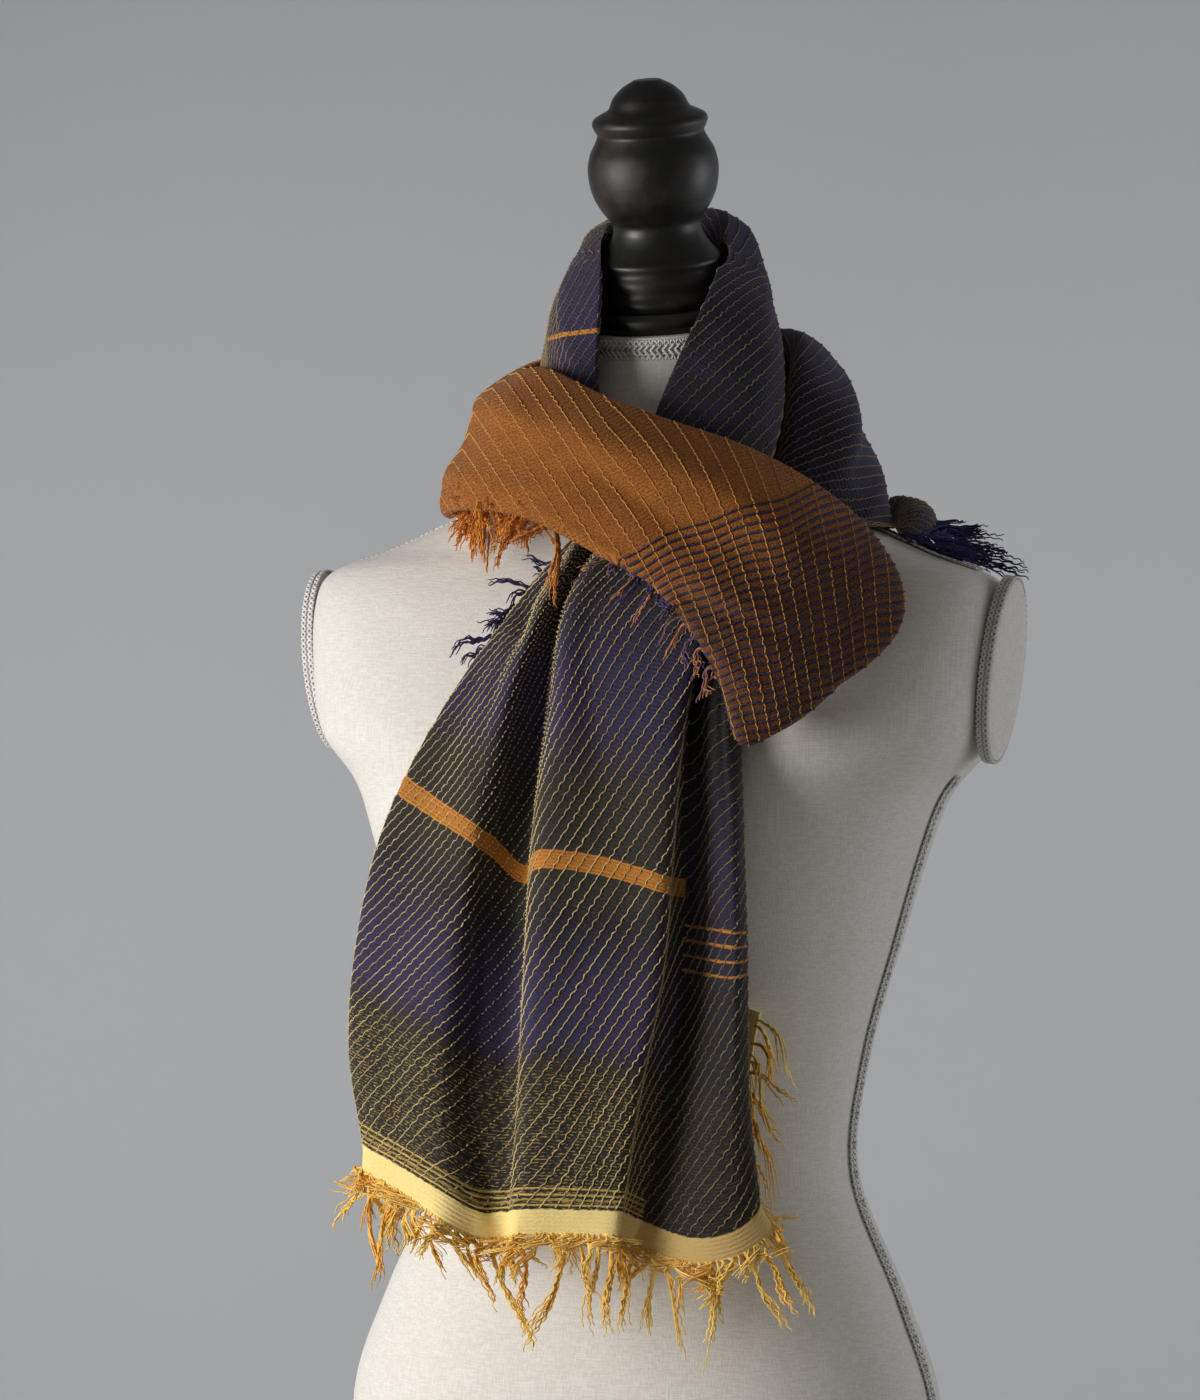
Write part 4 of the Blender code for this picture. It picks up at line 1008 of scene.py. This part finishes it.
WRAP_CREASES = [
    Crease((0.02, 0.42), (0.34, 0.50), 6.0, -1.8, 4), Crease((0.05, 0.66), (0.30, 0.74), 6.0, 1.6, -3),
    Crease((0.28, 0.36), (0.52, 0.62), 7.0, -1.5, 5), Crease((0.36, 0.78), (0.58, 0.84), 5.0, 1.4, 2),
    Crease((0.52, 0.86), (0.74, 0.60), 6.0, -2.6, 3), Crease((0.56, 0.93), (0.84, 0.78), 5.0, 1.8, -4),
    Crease((0.66, 0.48), (0.80, 0.56), 7.0, -1.8, 0), Crease((0.60, 0.72), (0.78, 0.44), 8.0, 1.2, 4),
    Crease((0.74, 0.88), (0.90, 0.60), 6.0, -1.8, -3), Crease((0.44, 0.40), (0.62, 0.46), 6.0, 1.2, 0),
]


def press(grid, creases):
    """Pushes creases into a grid along its normals."""
    rows, columns = grid.shape[:2]
    tall, wide = arc(grid, 0)[-1].mean(), arc(grid, 1)[:, -1].mean()
    along, across = np.meshgrid(np.linspace(0, 1, rows) * tall, np.linspace(0, 1, columns) * wide,
                                indexing="ij")
    push = np.zeros((rows, columns))
    for crease in creases:
        start = np.array(crease.start) * (tall, wide)
        run = np.array(crease.end) * (tall, wide) - start
        reach = np.linalg.norm(run)
        run /= reach
        forward = (along - start[0]) * run[0] + (across - start[1]) * run[1]
        share = np.clip(forward / reach, 0, 1)
        aside = (across - start[1]) * run[0] - (along - start[0]) * run[1]
        aside -= crease.bow * np.sin(math.pi * share)
        beyond = forward - share * reach
        fade = np.sin(math.pi * (0.12 + 0.76 * share))
        push += crease.depth * fade * np.exp(-(aside**2 + beyond**2) / crease.width**2)
    return grid + normals(grid) * push[..., None]


def lay(net, size, creases, ground, thickness, clearance=OVER_TRIM, side=1, deepest=DEEPEST, hem=0.0):
    """Faces of a stretch of cloth: its outer and inner grids, from the grid inside a net.

    side is -1 where the net's normals point in, and there the CAD's wall stands outside the net.
    """
    grid = form_axes(surface(net, np.linspace(0, 1, size[0]), np.linspace(0, 1, size[1])))
    if hem:
        step = np.linalg.norm(grid[-1] - grid[-2], axis=-1).mean()
        line = unit(np.gradient(grid[-1], axis=0))
        away = unit(grid[-1] - grid[-2])
        away = unit(away - line * (away * line).sum(-1, keepdims=True))
        more = np.linspace(0, hem, int(hem / step) + 2)[1:]
        grid = np.concatenate([grid, grid[-1] + away * more[:, None, None]])
    if side < 0:
        grid = grid[:, ::-1] - normals(grid)[:, ::-1] * CLOTH
        creases = [Crease((a, 1 - b), (c, 1 - d), width, depth, -bow)
                   for (a, b), (c, d), width, depth, bow in creases]
    grid = press(grid, creases)
    rest = clearance + CLOTH - thickness
    lining = ground.lift(grid - normals(grid) * thickness, rest, deepest)
    return ground.lift(grid, clearance + CLOTH, deepest), lining


# ---------------------------------------------------------------- shawl: yarns on the cloth
def contours(field, level):
    """Lines of a grid along which its field has a level, each as rows and columns of the grid."""
    above = field >= level
    links = {}
    corners = np.stack([above[:-1, :-1], above[:-1, 1:], above[1:, 1:], above[1:, :-1]])
    for r, c in np.argwhere(corners.any(0) & ~corners.all(0)):
        sides = ((0, r, c), (1, r, c + 1), (0, r + 1, c), (1, r, c))     # whether it runs down, and its start
        edges = [(down, i, j) for down, i, j in sides if above[i, j] != above[i + down, j + 1 - down]]
        for a, b in zip(edges[::2], edges[1::2]):
            links.setdefault(a, []).append(b)
            links.setdefault(b, []).append(a)

    def place(edge):
        down, r, c = edge
        other = field[r + 1, c] if down else field[r, c + 1]
        share = (level - field[r, c]) / (other - field[r, c])
        return (r + share, c) if down else (r, c + share)

    left, lines = set(links), []
    ends = [edge for edge, joined in links.items() if len(joined) == 1]
    for start in sorted(ends) + sorted(links):
        if start not in left:
            continue
        chain = [start]
        left.discard(start)
        while True:
            onward = [edge for edge in links[chain[-1]] if edge in left]
            if not onward:
                break
            chain.append(onward[0])
            left.discard(onward[0])
        if len(chain) > 2:
            lines.append(np.array([place(edge) for edge in chain]))
    return lines


def sample(grid, at):
    """A grid's values at places given as rows and columns."""
    rows, columns = grid.shape[:2]
    r = np.clip(at[:, 0], 0, rows - 1.001)
    c = np.clip(at[:, 1], 0, columns - 1.001)
    i, j = r.astype(int), c.astype(int)
    u, v = r - i, c - j
    if grid.ndim == 3:
        u, v = u[:, None], v[:, None]
    return (grid[i, j] * (1 - u) * (1 - v) + grid[i + 1, j] * u * (1 - v)
            + grid[i, j + 1] * (1 - u) * v + grid[i + 1, j + 1] * u * v)


YARN_STEP = 1.25               # between the points of a yarn on the cloth
SHORTEST_YARN = 8.0


def lay_yarns(name, face, field, shown, shawl, seed, material, radius=0.42, wave=None, dip=0.75, broken=None):
    """A piece of wavy yarns that lie on a face of cloth along a field's whole numbers, where shown is over 0.

    Below 1 its value dims their tone, as painted shade. The radius is a share of the warp yarn's diameter.
    Where broken is 1 they dive so deep between crossings that they show as dashes.
    """
    tubes = Tubes()
    broken = np.zeros(field.shape) if broken is None else broken
    dice = random.Random(seed)
    radius = shawl.yarn / MM * radius
    wave = wave or shawl.wave / MM
    turn = 2 * math.pi / (shawl.wave_length / MM)
    out = normals(face)
    for level in range(math.ceil(field.min()), math.floor(field.max()) + 1):
        for line in contours(field, level + 1e-4):
            spots = sample(face, line)
            run = arc(spots, 0)
            if run[-1] < SHORTEST_YARN:
                continue
            at = np.arange(0, run[-1], YARN_STEP)
            place = np.stack([np.interp(at, run, line[:, k]) for k in (0, 1)], -1)
            depth = sample(shown, place)
            visible = depth > 0.05
            # painted shade: a shown value below 1 dims the yarn's tone
            painted_light = np.clip(depth, 0, 1)
            swing = dice.uniform(0, 6.28)
            phase = at * turn + swing + 1.3 * np.sin(at * 0.11 + swing) + 0.6 * np.sin(at * 0.31 + 2 * swing)
            reach = wave * (0.75 + 0.45 * np.sin(at * 0.17 + 3 * swing))
            up = unit(sample(out, place))
            points = sample(face, place)
            side = unit(np.cross(up, unit(np.gradient(points, axis=0))))
            dive = sample(broken, place)
            height = radius * (0.25 - 0.5 * dive + (dip + 1.9 * dive) * np.sin(2 * phase + 0.7))
            points = points + side * (reach * np.sin(phase))[:, None] + up * height[:, None]
            thick = radius * dice.uniform(0.88, 1.1) * (1 - 0.3 * dive)
            cuts = np.flatnonzero(np.diff(visible.astype(int))) + 1
            for part in np.split(np.arange(len(at)), cuts):
                if len(part) > 4 and visible[part[0]]:
                    tubes.add(points[part], thick[part], dice.uniform(0.4, 1.0) * painted_light[part], up[part])
    return tubes.make(name, material)


# ---------------------------------------------------------------- shawl: fringes
# How many locks there are to 100 mm of edge, how long they are, how far they stray, how many
# yarns are in each, how far their ends part, where they fall to, and how many short curls tangle
# at their roots to 100 mm of edge.
Fringe = namedtuple("Fringe", "locks shortest longest stray yarns fray fall seed tangle")
HEM_FRINGE = Fringe(15, 24, 64, 0.8, (6, 9), 3.5, (0, 0, -1), 3, 50)
BACK_FRINGE = Fringe(16, 26, 60, 0.75, (3, 6), 4.0, (0.3, 0, -1), 5, 10)
AMBER_FRINGE = Fringe(24, 28, 60, 0.85, (6, 10), 4.5, (-0.2, -0.35, -1), 7, 80)
MIXED_FRINGE = Fringe(20, 16, 36, 0.90, (4, 7), 4.0, (0, -0.5, -1), 9, 10)
SIDE_FRINGE = Fringe(18, 14, 34, 0.95, (4, 7), 3.0, (-0.8, 0, -0.45), 11, 0)
SHOULDER_FRINGE = Fringe(34, 30, 64, 0.55, (4, 7), 5.0, (1, 0.1, -0.35), 13, 20)
CURLS = {"shortest": 6, "longest": 24, "stray": 2.2, "yarns": (2, 4), "fray": 3.0}
CURL_STRAND = 0.8              # of the other yarns' thickness
ROOT_DEPTH = 1.5               # how far inside the cloth's edge the yarns start


def grow_lock(tubes, dice, kind, root, away, fall, aside, out, ground, clearance, strand):
    """One lock: a few crimped yarns that start together, wander as one and part at their ends."""
    length = kind.shortest + (kind.longest - kind.shortest) * dice.random() ** 1.4
    lean = kind.stray * dice.uniform(-1, 1)
    lift = kind.stray * dice.uniform(-0.1, 0.7)
    bends = [(dice.uniform(-1, 1) * kind.stray * 5.0, dice.uniform(0, 6.28)) for _ in range(2)]
    hue = dice.random()
    for _ in range(dice.randint(*kind.yarns)):
        own = length * dice.uniform(0.7, 1.05)
        count = max(10, int(own / 1.5))
        share = np.linspace(0, 1, count)
        turn = np.clip(share * 2.2, 0, 1)[:, None]
        way = unit(away * (1 - turn) + fall * turn + aside * lean * np.sin(2.5 * share)[:, None]
                   + out * lift * np.sin(2.8 * share)[:, None])
        line = root + np.concatenate([np.zeros((1, 3)), np.cumsum(way[:-1] * own / (count - 1), 0)])
        (broad, first), (tight, second) = bends
        wander = broad * np.sin(4.5 * share + first) + tight * 0.5 * np.sin(9 * share + second)
        wander -= wander[0]
        crimp = dice.uniform(0.4, 1.0) * np.sin(share * own * dice.uniform(0.8, 1.3) + dice.uniform(0, 6.28))
        twist = dice.uniform(0, 6.28)
        apart = 0.5 + kind.fray * dice.uniform(0.2, 1.0) * share**2.6
        apart *= np.minimum(1, share * 6)
        line += aside * (wander * share**0.6 + crimp * share**0.3 + apart * math.cos(twist))[:, None]
        line += out * (wander * 0.3 * share - crimp * 0.6 * share**0.3 + apart * math.sin(twist))[:, None]
        line = ground.lift(line, clearance)
        radius = strand / 2 * (1 - 0.55 * share**3) * dice.uniform(0.8, 1.15)
        tubes.add(line, radius, min(1, max(0, hue + dice.uniform(-0.25, 0.25))), out)


def fringe(name, nodes, edge, away, out, kind, material, ground, slot, settings, clearance=1.2):
    """A fringe along an edge of cloth: locks of yarn that go away from it and then fall."""
    dice = random.Random(kind.seed)
    run = arc(edge, 0)
    fall = unit(form_axes(kind.fall))
    strand = settings.strand / MM
    tubes = Tubes()

    def plant(at, kind, strand):
        root, go, up = (np.array([np.interp(at, run, part[:, j]) for j in range(3)])
                        for part in (edge, away, out))
        go, up = unit(go), unit(up)
        grow_lock(tubes, dice, kind, root - go * ROOT_DEPTH, go, fall, unit(np.cross(go, up)), up, ground,
                  clearance, strand)

    count = max(3, int(run[-1] * kind.locks / 100))
    for k in range(count):
        plant(run[-1] * (k + dice.uniform(0.15, 0.85)) / count, kind, strand)
    curls = kind._replace(**CURLS)
    for _ in range(int(run[-1] * kind.tangle / 100)):
        plant(run[-1] * dice.random(), curls, strand * CURL_STRAND)
    piece = tubes.make(name, material)
    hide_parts(*nodes)
    return piece


# ---------------------------------------------------------------- shawl: stretches
def across_table(values, columns):
    """A fold table's column, read at each column of a grid."""
    return spline(values, np.linspace(0, 1, columns))


def tail_measures(face, folds, hem_rows):
    """The tail's weave: warp and weft coordinates in millimetres."""
    rows, columns = face.shape[:2]
    z = face[..., 2]
    hem = z[-1 - hem_rows]
    band = across_table([fold.band for fold in folds], columns)
    run = across_table([fold.run for fold in folds], columns)
    share = np.linspace(0, 1, columns)
    below = (z - hem) * BAND_TOP / np.maximum(band - hem, 60.0)
    faster = 1 + LEFT_EDGE[1] * np.clip(1 - share / LEFT_EDGE[0], 0, 1)
    weft = np.where(z < band, below, BAND_TOP + (z - band) * faster)
    for k in range(hem_rows):
        weft[rows - hem_rows + k] = -HEM_DEPTH * (k + 1) / hem_rows
    reference = np.argmin(np.abs(z.mean(1) - WARP_LEVEL))
    apart = arc(face, 1)
    anchor = int(columns * WARP_ANCHOR)
    apart = apart - apart[:, anchor:anchor + 1]
    apart[reference:] = apart[reference]
    return apart - (z - WARP_LEVEL) * run, weft


def hanging_cloth(name, node, folds, hang, size, creases, rest, panel_from, ground, shawl, looks):
    """A stretch that hangs, with its hem: its piece, its outer grid, its weave and its fringe's edge."""
    face, lining = lay(hanging_net(folds, hang), size, creases, ground, shawl.thickness / MM, rest,
                       hem=HEM_DEPTH)
    warp, weft = tail_measures(face, folds, face.shape[0] - size[0])
    panel = (np.linspace(0, 1, size[1])[None] > panel_from) * np.ones(warp.shape)
    cloth = shell(name, face, lining, looks["tail"], {"warp": warp, "weft": weft, "panel": panel})
    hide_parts(node)
    away, out = unit(face[-1] - face[-2]), normals(face)[-1]
    if out.mean(0) @ FRONT < 0:
        out = -out
    return cloth, face, (warp, weft, panel), (face[-1], away, out)


def make_tail(ground, shawl, looks):
    cloth, face, (warp, weft, panel), edge = hanging_cloth(
        "tail_front_cloth", "tail_front", TAIL, TAIL_HANG, TAIL_SIZE, TAIL_CREASES,
        BACK_REST + CLOTH + BACK_GAP, PANEL, ground, shawl, looks)
    # the pale yarns show above the hem; on the turned panel their tone is dimmed to 0.2 as painted shade
    shown = np.where(weft > 0.8, 1 - 0.8 * panel, 0.0)
    across = np.linspace(0, 1, face.shape[1])[None]
    spread = np.interp(face[..., 2], DIVE_HEIGHTS, DIVE_HALVES)
    broken = np.clip(1.3 - 1.3 * np.abs(across - DIVE_MIDDLE) / spread, 0, 1)
    lines = lay_yarns("tail_front_warp_yarns", face, warp / (shawl.pitch / MM), shown, shawl, 21,
                      looks["pale"], radius=0.5, broken=broken)
    hem = fringe("tail_fringe", ["tail_hem"], *edge, HEM_FRINGE, looks["gold"], ground, "fringe_gold", shawl)
    roots = face[TUFT_ROWS, TUFT_COLUMN]
    away, out = (np.tile(form_axes(way), (len(roots), 1)) for way in ((-1.0, 0.1, -0.3), (-0.6, -0.8, 0.0)))
    tufts = fringe("side_fringe_yarns", ["side_fringe"], roots, away, out, SIDE_FRINGE, looks["ink"], ground,
                   "fringe_navy", shawl)


def make_tail_back(ground, shawl, looks):
    cloth, _, _, edge = hanging_cloth(
        "tail_back_cloth", "tail_back", TAIL_BACK, BACK_HANG, BACK_SIZE, BACK_CREASES, BACK_REST, 1.0, ground,
        shawl, looks)
    hem = fringe("tail_back_fringe", ["tail_back_hem"], *edge, BACK_FRINGE, looks["gold"], ground,
                 "fringe_gold", shawl)


def band_measures(face, lean):
    """A loop's weave: warp and weft coordinates in millimetres."""
    along = arc(face, 0).mean(1)
    across = arc(face, 1)
    at = np.linspace(0, 1, face.shape[0])
    angle = np.radians(spline(lean.angles, at))[:, None]
    dense = spline(lean.gather, at)[:, None]
    step = np.gradient(along)[:, None]
    warp = across * np.cos(angle) * dense + np.cumsum(np.sin(angle) * dense * step, 0)
    return warp, np.cumsum(np.cos(angle) * step, 0) - (across - across.mean()) * np.sin(angle)


def make_loop(name, net, size, creases, ground, shawl, looks, lean, seed, deepest=DEEPEST,
              finish="loop", side=1, ends=()):
    """A stretch that goes round the neck, with the pale yarns that cross it, and what ends hang on it."""
    face, lining = lay(net, size, creases, ground, shawl.thickness / MM, deepest=deepest, side=side)
    warp, weft = band_measures(face, lean)
    x, z = drape_axes(face)
    height, middle, climb = STRIPE
    mark = np.where((x < -20) & (face[..., 1] < 20), z - height - (x - middle) * climb, FAR_FROM_STRIPE)
    cloth = shell(name + "_cloth", face, lining, looks[finish], {"warp": warp, "weft": weft, "mark": mark})
    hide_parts(name)
    lines = lay_yarns(name + "_warp_yarns", face, warp / (shawl.pitch / MM), np.ones(warp.shape), shawl, seed,
                      looks["tan"])
    on_it = [lines] + [end(face) for end in ends]


def wrap_measures(face):
    """The front wrap's weave: warp and weft coordinates in millimetres."""
    along, across = arc(face, 0), arc(face[:, ::-1], 1)[:, ::-1]
    x, z = drape_axes(face)
    band = along.mean(1)[:, None] - WRAP_LEAN * (across - across.mean())
    steep = np.radians(np.clip(WRAP_STEEP[0] + WRAP_STEEP[1] * x, *WRAP_STEEP[2:]))
    front = x * np.sin(steep) + (z - WRAP_MIDDLE) * np.cos(steep)
    begin, done = WRAP_TURN
    share = np.clip((np.linspace(0, 1, len(face)) - begin) / (done - begin), 0, 1)[:, None]
    share = share**2 * (3 - 2 * share)
    meet = int(len(face) * (begin + done) / 2)
    warp = (1 - share) * (band - band[meet].mean() + front[meet].mean()) + share * front
    weft = WEFT_START[1] + (x - WEFT_START[0]) * WEFT_CLIMB - z
    weft += 1.0 * np.sin(warp / 6.5 + weft / 21) + 1.4 * np.sin(warp / 15.0 + weft / 60)
    return warp, np.where((x > WEFT_LEFT) & (share > 0.99), weft, np.minimum(weft, -5.0))


def make_front_wrap(ground, shawl, looks):
    face, lining = lay(band_net(WRAP, OUTER_ROLL), WRAP_SIZE, WRAP_CREASES, ground, shawl.thickness / MM,
                       side=-1)
    warp, weft = wrap_measures(face)
    cloth = shell("front_wrap_cloth", face, lining, looks["amber"], {"warp": warp, "weft": weft})
    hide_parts("front_wrap")
    lines = lay_yarns("front_wrap_warp_yarns", face, warp / (shawl.pitch / MM * WRAP_PITCH),
                      np.ones(warp.shape), shawl, 31, looks["straw"])
    checks = lay_yarns("front_wrap_weft_yarns", face, weft / (shawl.weft_pitch / MM),
                       (weft > 0).astype(float), shawl, 37, looks["plum"], radius=0.7, wave=0.3, dip=0.5)
    foot, away = face[:, 0], unit(face[:, 0] - face[:, 1])
    aside = np.tile(FRONT, (len(foot), 1))
    left, centre = (slice(*(int(len(foot) * share) for share in roots))
                    for roots in (AMBER_ROOTS, MIXED_ROOTS))
    ginger = fringe("amber_fringe_yarns", ["amber_fringe"], foot[left], away[left], aside[left],
                    AMBER_FRINGE, looks["ginger"], ground, "fringe_gold", shawl)
    mixed = fringe("mixed_fringe_yarns", ["mixed_fringe"], foot[centre], away[centre], aside[centre],
                   MIXED_FRINGE, looks["mixed"], ground, "fringe_navy", shawl)


# ---------------------------------------------------------------- steps
MADE = {}                      # what one step leaves for the next


def finishes(shawl, form):
    """Every material. A zone of the blue cloth is its start, how far the change to it takes, its dye."""
    navy, violet, charcoal, soot = (tuple(c) for c in (shawl.navy, shawl.violet, shawl.charcoal, shawl.soot))
    mid = tuple(0.55 * a + 0.45 * b for a, b in zip(navy, violet))
    tail = [(-20, 0, soot), (0, 0.1, soot), (16, 10, soot), (92, 14, mid), (150, 40, navy),
            (178, 20, charcoal), (262, 34, mid), (330, 40, navy), (380, 40, mid)]
    panel = [(-20, 0, soot), (0, 0.1, soot), (30, 20, soot), (70, 40, navy), (150, 30, mid), (250, 60, navy)]
    loop = [(-20, 0, navy), (0, 30, navy), (60, 60, mid), (140, 60, navy), (230, 60, mid), (320, 60, navy)]
    ground = tuple(0.5 * a + 0.5 * b for a, b in zip(charcoal, navy))
    shaded = [(-20, 0, navy), (60, 60, mid), (140, 60, ground), (240, 60, navy), (330, 60, mid)]
    look = {
        "tail": blue_finish(shawl, "blue_cloth_zoned", tail, panel),
        "loop": blue_finish(shawl, "blue_cloth", loop),
        "shaded": blue_finish(shawl, "blue_cloth_brown_edge", shaded),
        "amber": amber_finish(shawl),
        "canvas": canvas_finish(form),
        "wood": wood_finish(form),
        "gimp": gimp_finish(form),
    }
    dyes = {
        # the pale yarn's darker colour serves both its random unevenness and the painted shade on the tail's
        # turned panel
        "pale": (tone(112, 94, 58), shawl.pale),
        "tan": (tone(92, 78, 60), tone(148, 126, 92)),
        "straw": (shawl.amber, shawl.straw),
        "ink": (shawl.navy, shawl.violet),
        "plum": (tone(34, 22, 36), tone(56, 40, 78)),
        "gold": (tone(250, 188, 76), shawl.gold),
        "ginger": (tone(214, 126, 38), shawl.ginger),
        "mixed": (shawl.violet, shawl.ginger, tone(104, 92, 48)),
    }
    look.update((word, yarn_finish(word + "_yarn", *yarn)) for word, yarn in dyes.items())
    return look


class SHAWL_OT_form(bpy.types.Operator):
    """Make the canvas form, its arm plates and its turned wood"""
    bl_idname = "shawl.form"
    bl_label = "Dress form"

    def execute(self, context):
        look = MADE.setdefault("look", finishes(context.scene.shawl, context.scene.shawl_form))
        torso = make_torso(look["canvas"])
        seat = NECK_TOP + Vector((0, 0, SEAM))
        turned("turned_cap", "neck_cap", CAP, look["wood"], seat, NECK_LEAN)
        finial = turned("turned_finial", "finial", FINIAL, look["wood"], seat, NECK_LEAN)
        turned("turned_column", "column", COLUMN, look["wood"], Vector((0, 0, TORSO_FOOT - SEAM)))
        turned("turned_base", "base", BASE, look["wood"])
        for side, word in SIDES:
            make_arm_plate(side, word, look["canvas"])
        MADE["canvas"] = Ground(torso)
        MADE["neck"] = Ground(torso, finial, bpy.data.objects["turned_cap"])
        return {"FINISHED"}


class SHAWL_OT_gimp(bpy.types.Operator):
    """Lay the white gimp round the neck and the arm plates and down the seams"""
    bl_idname = "shawl.gimp"
    bl_label = "Gimp"

    def execute(self, context):
        make_form_gimp(MADE["canvas"], context.scene.shawl_form, MADE["look"]["gimp"])
        return {"FINISHED"}


class SHAWL_OT_loops(bpy.types.Operator):
    """Wind the two loops round the neck and tuck in the fold at the shoulder"""
    bl_idname = "shawl.loops"
    bl_label = "Loops"

    def execute(self, context):
        shawl, look, canvas = context.scene.shawl, MADE["look"], MADE["canvas"]

        def shoulder_fringe(face):
            away = unit(face[:, 0] - face[:, 1])
            out = np.tile(form_axes((0.1, -0.6, 0.8)), (len(face), 1))
            return fringe("shoulder_fringe_yarns", ["shoulder_fringe"], face[:, 0], away, out,
                          SHOULDER_FRINGE, look["ink"], canvas, "fringe_navy", shawl, clearance=OVER_TRIM)

        make_loop("collar_wrap", band_net(COLLAR, COLLAR_ROLL), COLLAR_SIZE, COLLAR_CREASES, MADE["neck"],
                  shawl, look, COLLAR_LEAN, 41, NECK_DEEPEST)
        least, less = SHOULDER_TUCK
        tucked = [section._replace(flap=max(section.flap, least - less * k))
                  for k, section in enumerate(SHOULDER)]
        make_loop("shoulder_wrap", band_net(tucked, OUTER_ROLL), SHOULDER_SIZE, SHOULDER_CREASES, canvas,
                  shawl, look, SHOULDER_LEAN, 43, finish="shaded", side=-1)
        make_loop("tucked_fold", tuck_net(), TUCK_SIZE, [], canvas, shawl, look, TUCK_LEAN, 47,
                  side=-1, ends=[shoulder_fringe])
        return {"FINISHED"}


class SHAWL_OT_tail(bpy.types.Operator):
    """Hang the shawl's end with its band, hem and fringe"""
    bl_idname = "shawl.tail"
    bl_label = "Hanging end"

    def execute(self, context):
        make_tail(MADE["canvas"], context.scene.shawl, MADE["look"])
        make_tail_back(MADE["canvas"], context.scene.shawl, MADE["look"])
        return {"FINISHED"}


class SHAWL_OT_front_wrap(bpy.types.Operator):
    """Lay the amber stretch across the chest, with its checks and fringes"""
    bl_idname = "shawl.front_wrap"
    bl_label = "Front wrap"

    def execute(self, context):
        make_front_wrap(MADE["canvas"], context.scene.shawl, MADE["look"])
        return {"FINISHED"}


def stage_sheet(name, near, far, material):
    """A plain surface between two corners, given in millimetres in the drape's axes."""
    (a, b, c), (d, e, f) = near, far
    corners = form_axes([(a, b, c), (d, b, c), (d, e, f), (a, e, f)]) * MM
    mesh = bpy.data.meshes.new(name)
    mesh.from_pydata(corners.tolist(), [], [list(range(len(corners)))])
    mesh.materials.append(material)
    made = bpy.data.objects.new(name, mesh)
    bpy.context.scene.collection.objects.link(made)


def lamp(name, place, aim, size, power, dye, spread):
    """A window of a size in metres; its place and its aim are in millimetres in the drape's axes."""
    light = bpy.data.lights.new(name, "AREA")
    light.shape = "RECTANGLE"
    light.size, light.size_y = size
    light.energy = power
    light.color = dye
    light.spread = math.radians(spread)
    made = bpy.data.objects.new(name, light)
    place, aim = (Vector(form_axes(point) * MM) for point in (place, aim))
    made.location = place
    made.visible_camera = False
    made.rotation_euler = (aim - place).to_track_quat("-Z", "Y").to_euler()
    bpy.context.scene.collection.objects.link(made)


class SHAWL_OT_stage(bpy.types.Operator):
    """Set the camera, the wall, the floor and the window light"""
    bl_idname = "shawl.stage"
    bl_label = "Studio"

    def execute(self, context):
        scene, studio = context.scene, context.scene.shawl_studio
        camera = bpy.data.cameras.new("camera")
        camera.sensor_fit = "VERTICAL"
        camera.sensor_height = SENSOR
        camera.lens = studio.focal
        seat = bpy.data.objects.new("camera", camera)
        turn = Matrix.Rotation(TURN, 4, "Z") @ Matrix.Rotation(math.pi / 2, 4, "X")
        turn = turn @ Matrix.Rotation(studio.roll, 4, "Z")
        seat.matrix_world = Matrix.Translation(form_axes(CAMERA) * MM) @ turn
        scene.collection.objects.link(seat)
        scene.camera = seat
        stage_sheet("wall", (-STAGE_HALF, WALL_BEHIND, 0), (STAGE_HALF, WALL_BEHIND, WALL_HEIGHT),
                    plain_finish("wall_paint", studio.wall, 3.0))
        stage_sheet("floor", (-STAGE_HALF, -STAGE_HALF, 0), (STAGE_HALF, WALL_BEHIND, 0),
                    plain_finish("floor_paint", studio.floor, 5.0))
        lamp("window", WINDOW, WINDOW_AIM, WINDOW_SIZE, studio.window, WINDOW_DYE, 105)
        lamp("far_window", FAR_WINDOW, FAR_AIM, FAR_SIZE, studio.window * FAR_SHARE, FAR_DYE, 180)
        world = bpy.data.worlds.new("room")
        world.use_nodes = True
        room = world.node_tree.nodes["Background"].inputs
        room["Color"].default_value = (*ROOM_DYE, 1)
        room["Strength"].default_value = studio.bounce
        scene.world = world
        scene.view_settings.view_transform = "Standard"
        return {"FINISHED"}


STEPS = (SHAWL_OT_form, SHAWL_OT_gimp, SHAWL_OT_loops, SHAWL_OT_tail, SHAWL_OT_front_wrap, SHAWL_OT_stage)


class SHAWL_PT_steps(bpy.types.Panel):
    """The steps that make the shawl, in order"""
    bl_idname = "SHAWL_PT_steps"
    bl_label = "Shawl"
    bl_space_type = "VIEW_3D"
    bl_region_type = "UI"
    bl_category = "Shawl"

    def draw(self, context):
        for group in (context.scene.shawl, context.scene.shawl_form, context.scene.shawl_studio):
            box = self.layout.box()
            for name in group.__annotations__:
                box.prop(group, name)
        for step in STEPS:
            self.layout.operator(step.bl_idname)


SETTINGS = (("shawl", ShawlSettings), ("shawl_form", FormSettings), ("shawl_studio", StudioSettings))


def register():
    for name, group in SETTINGS:
        bpy.utils.register_class(group)
        setattr(bpy.types.Scene, name, PointerProperty(type=group))
    for made in (*STEPS, SHAWL_PT_steps):
        bpy.utils.register_class(made)


def unregister():
    for made in (SHAWL_PT_steps, *reversed(STEPS)):
        bpy.utils.unregister_class(made)
    for name, group in reversed(SETTINGS):
        delattr(bpy.types.Scene, name)
        bpy.utils.unregister_class(group)


def main():
    register()
    for step in STEPS:
        group, name = step.bl_idname.split(".")
        getattr(getattr(bpy.ops, group), name)()


if __name__ == "__main__":
    main()
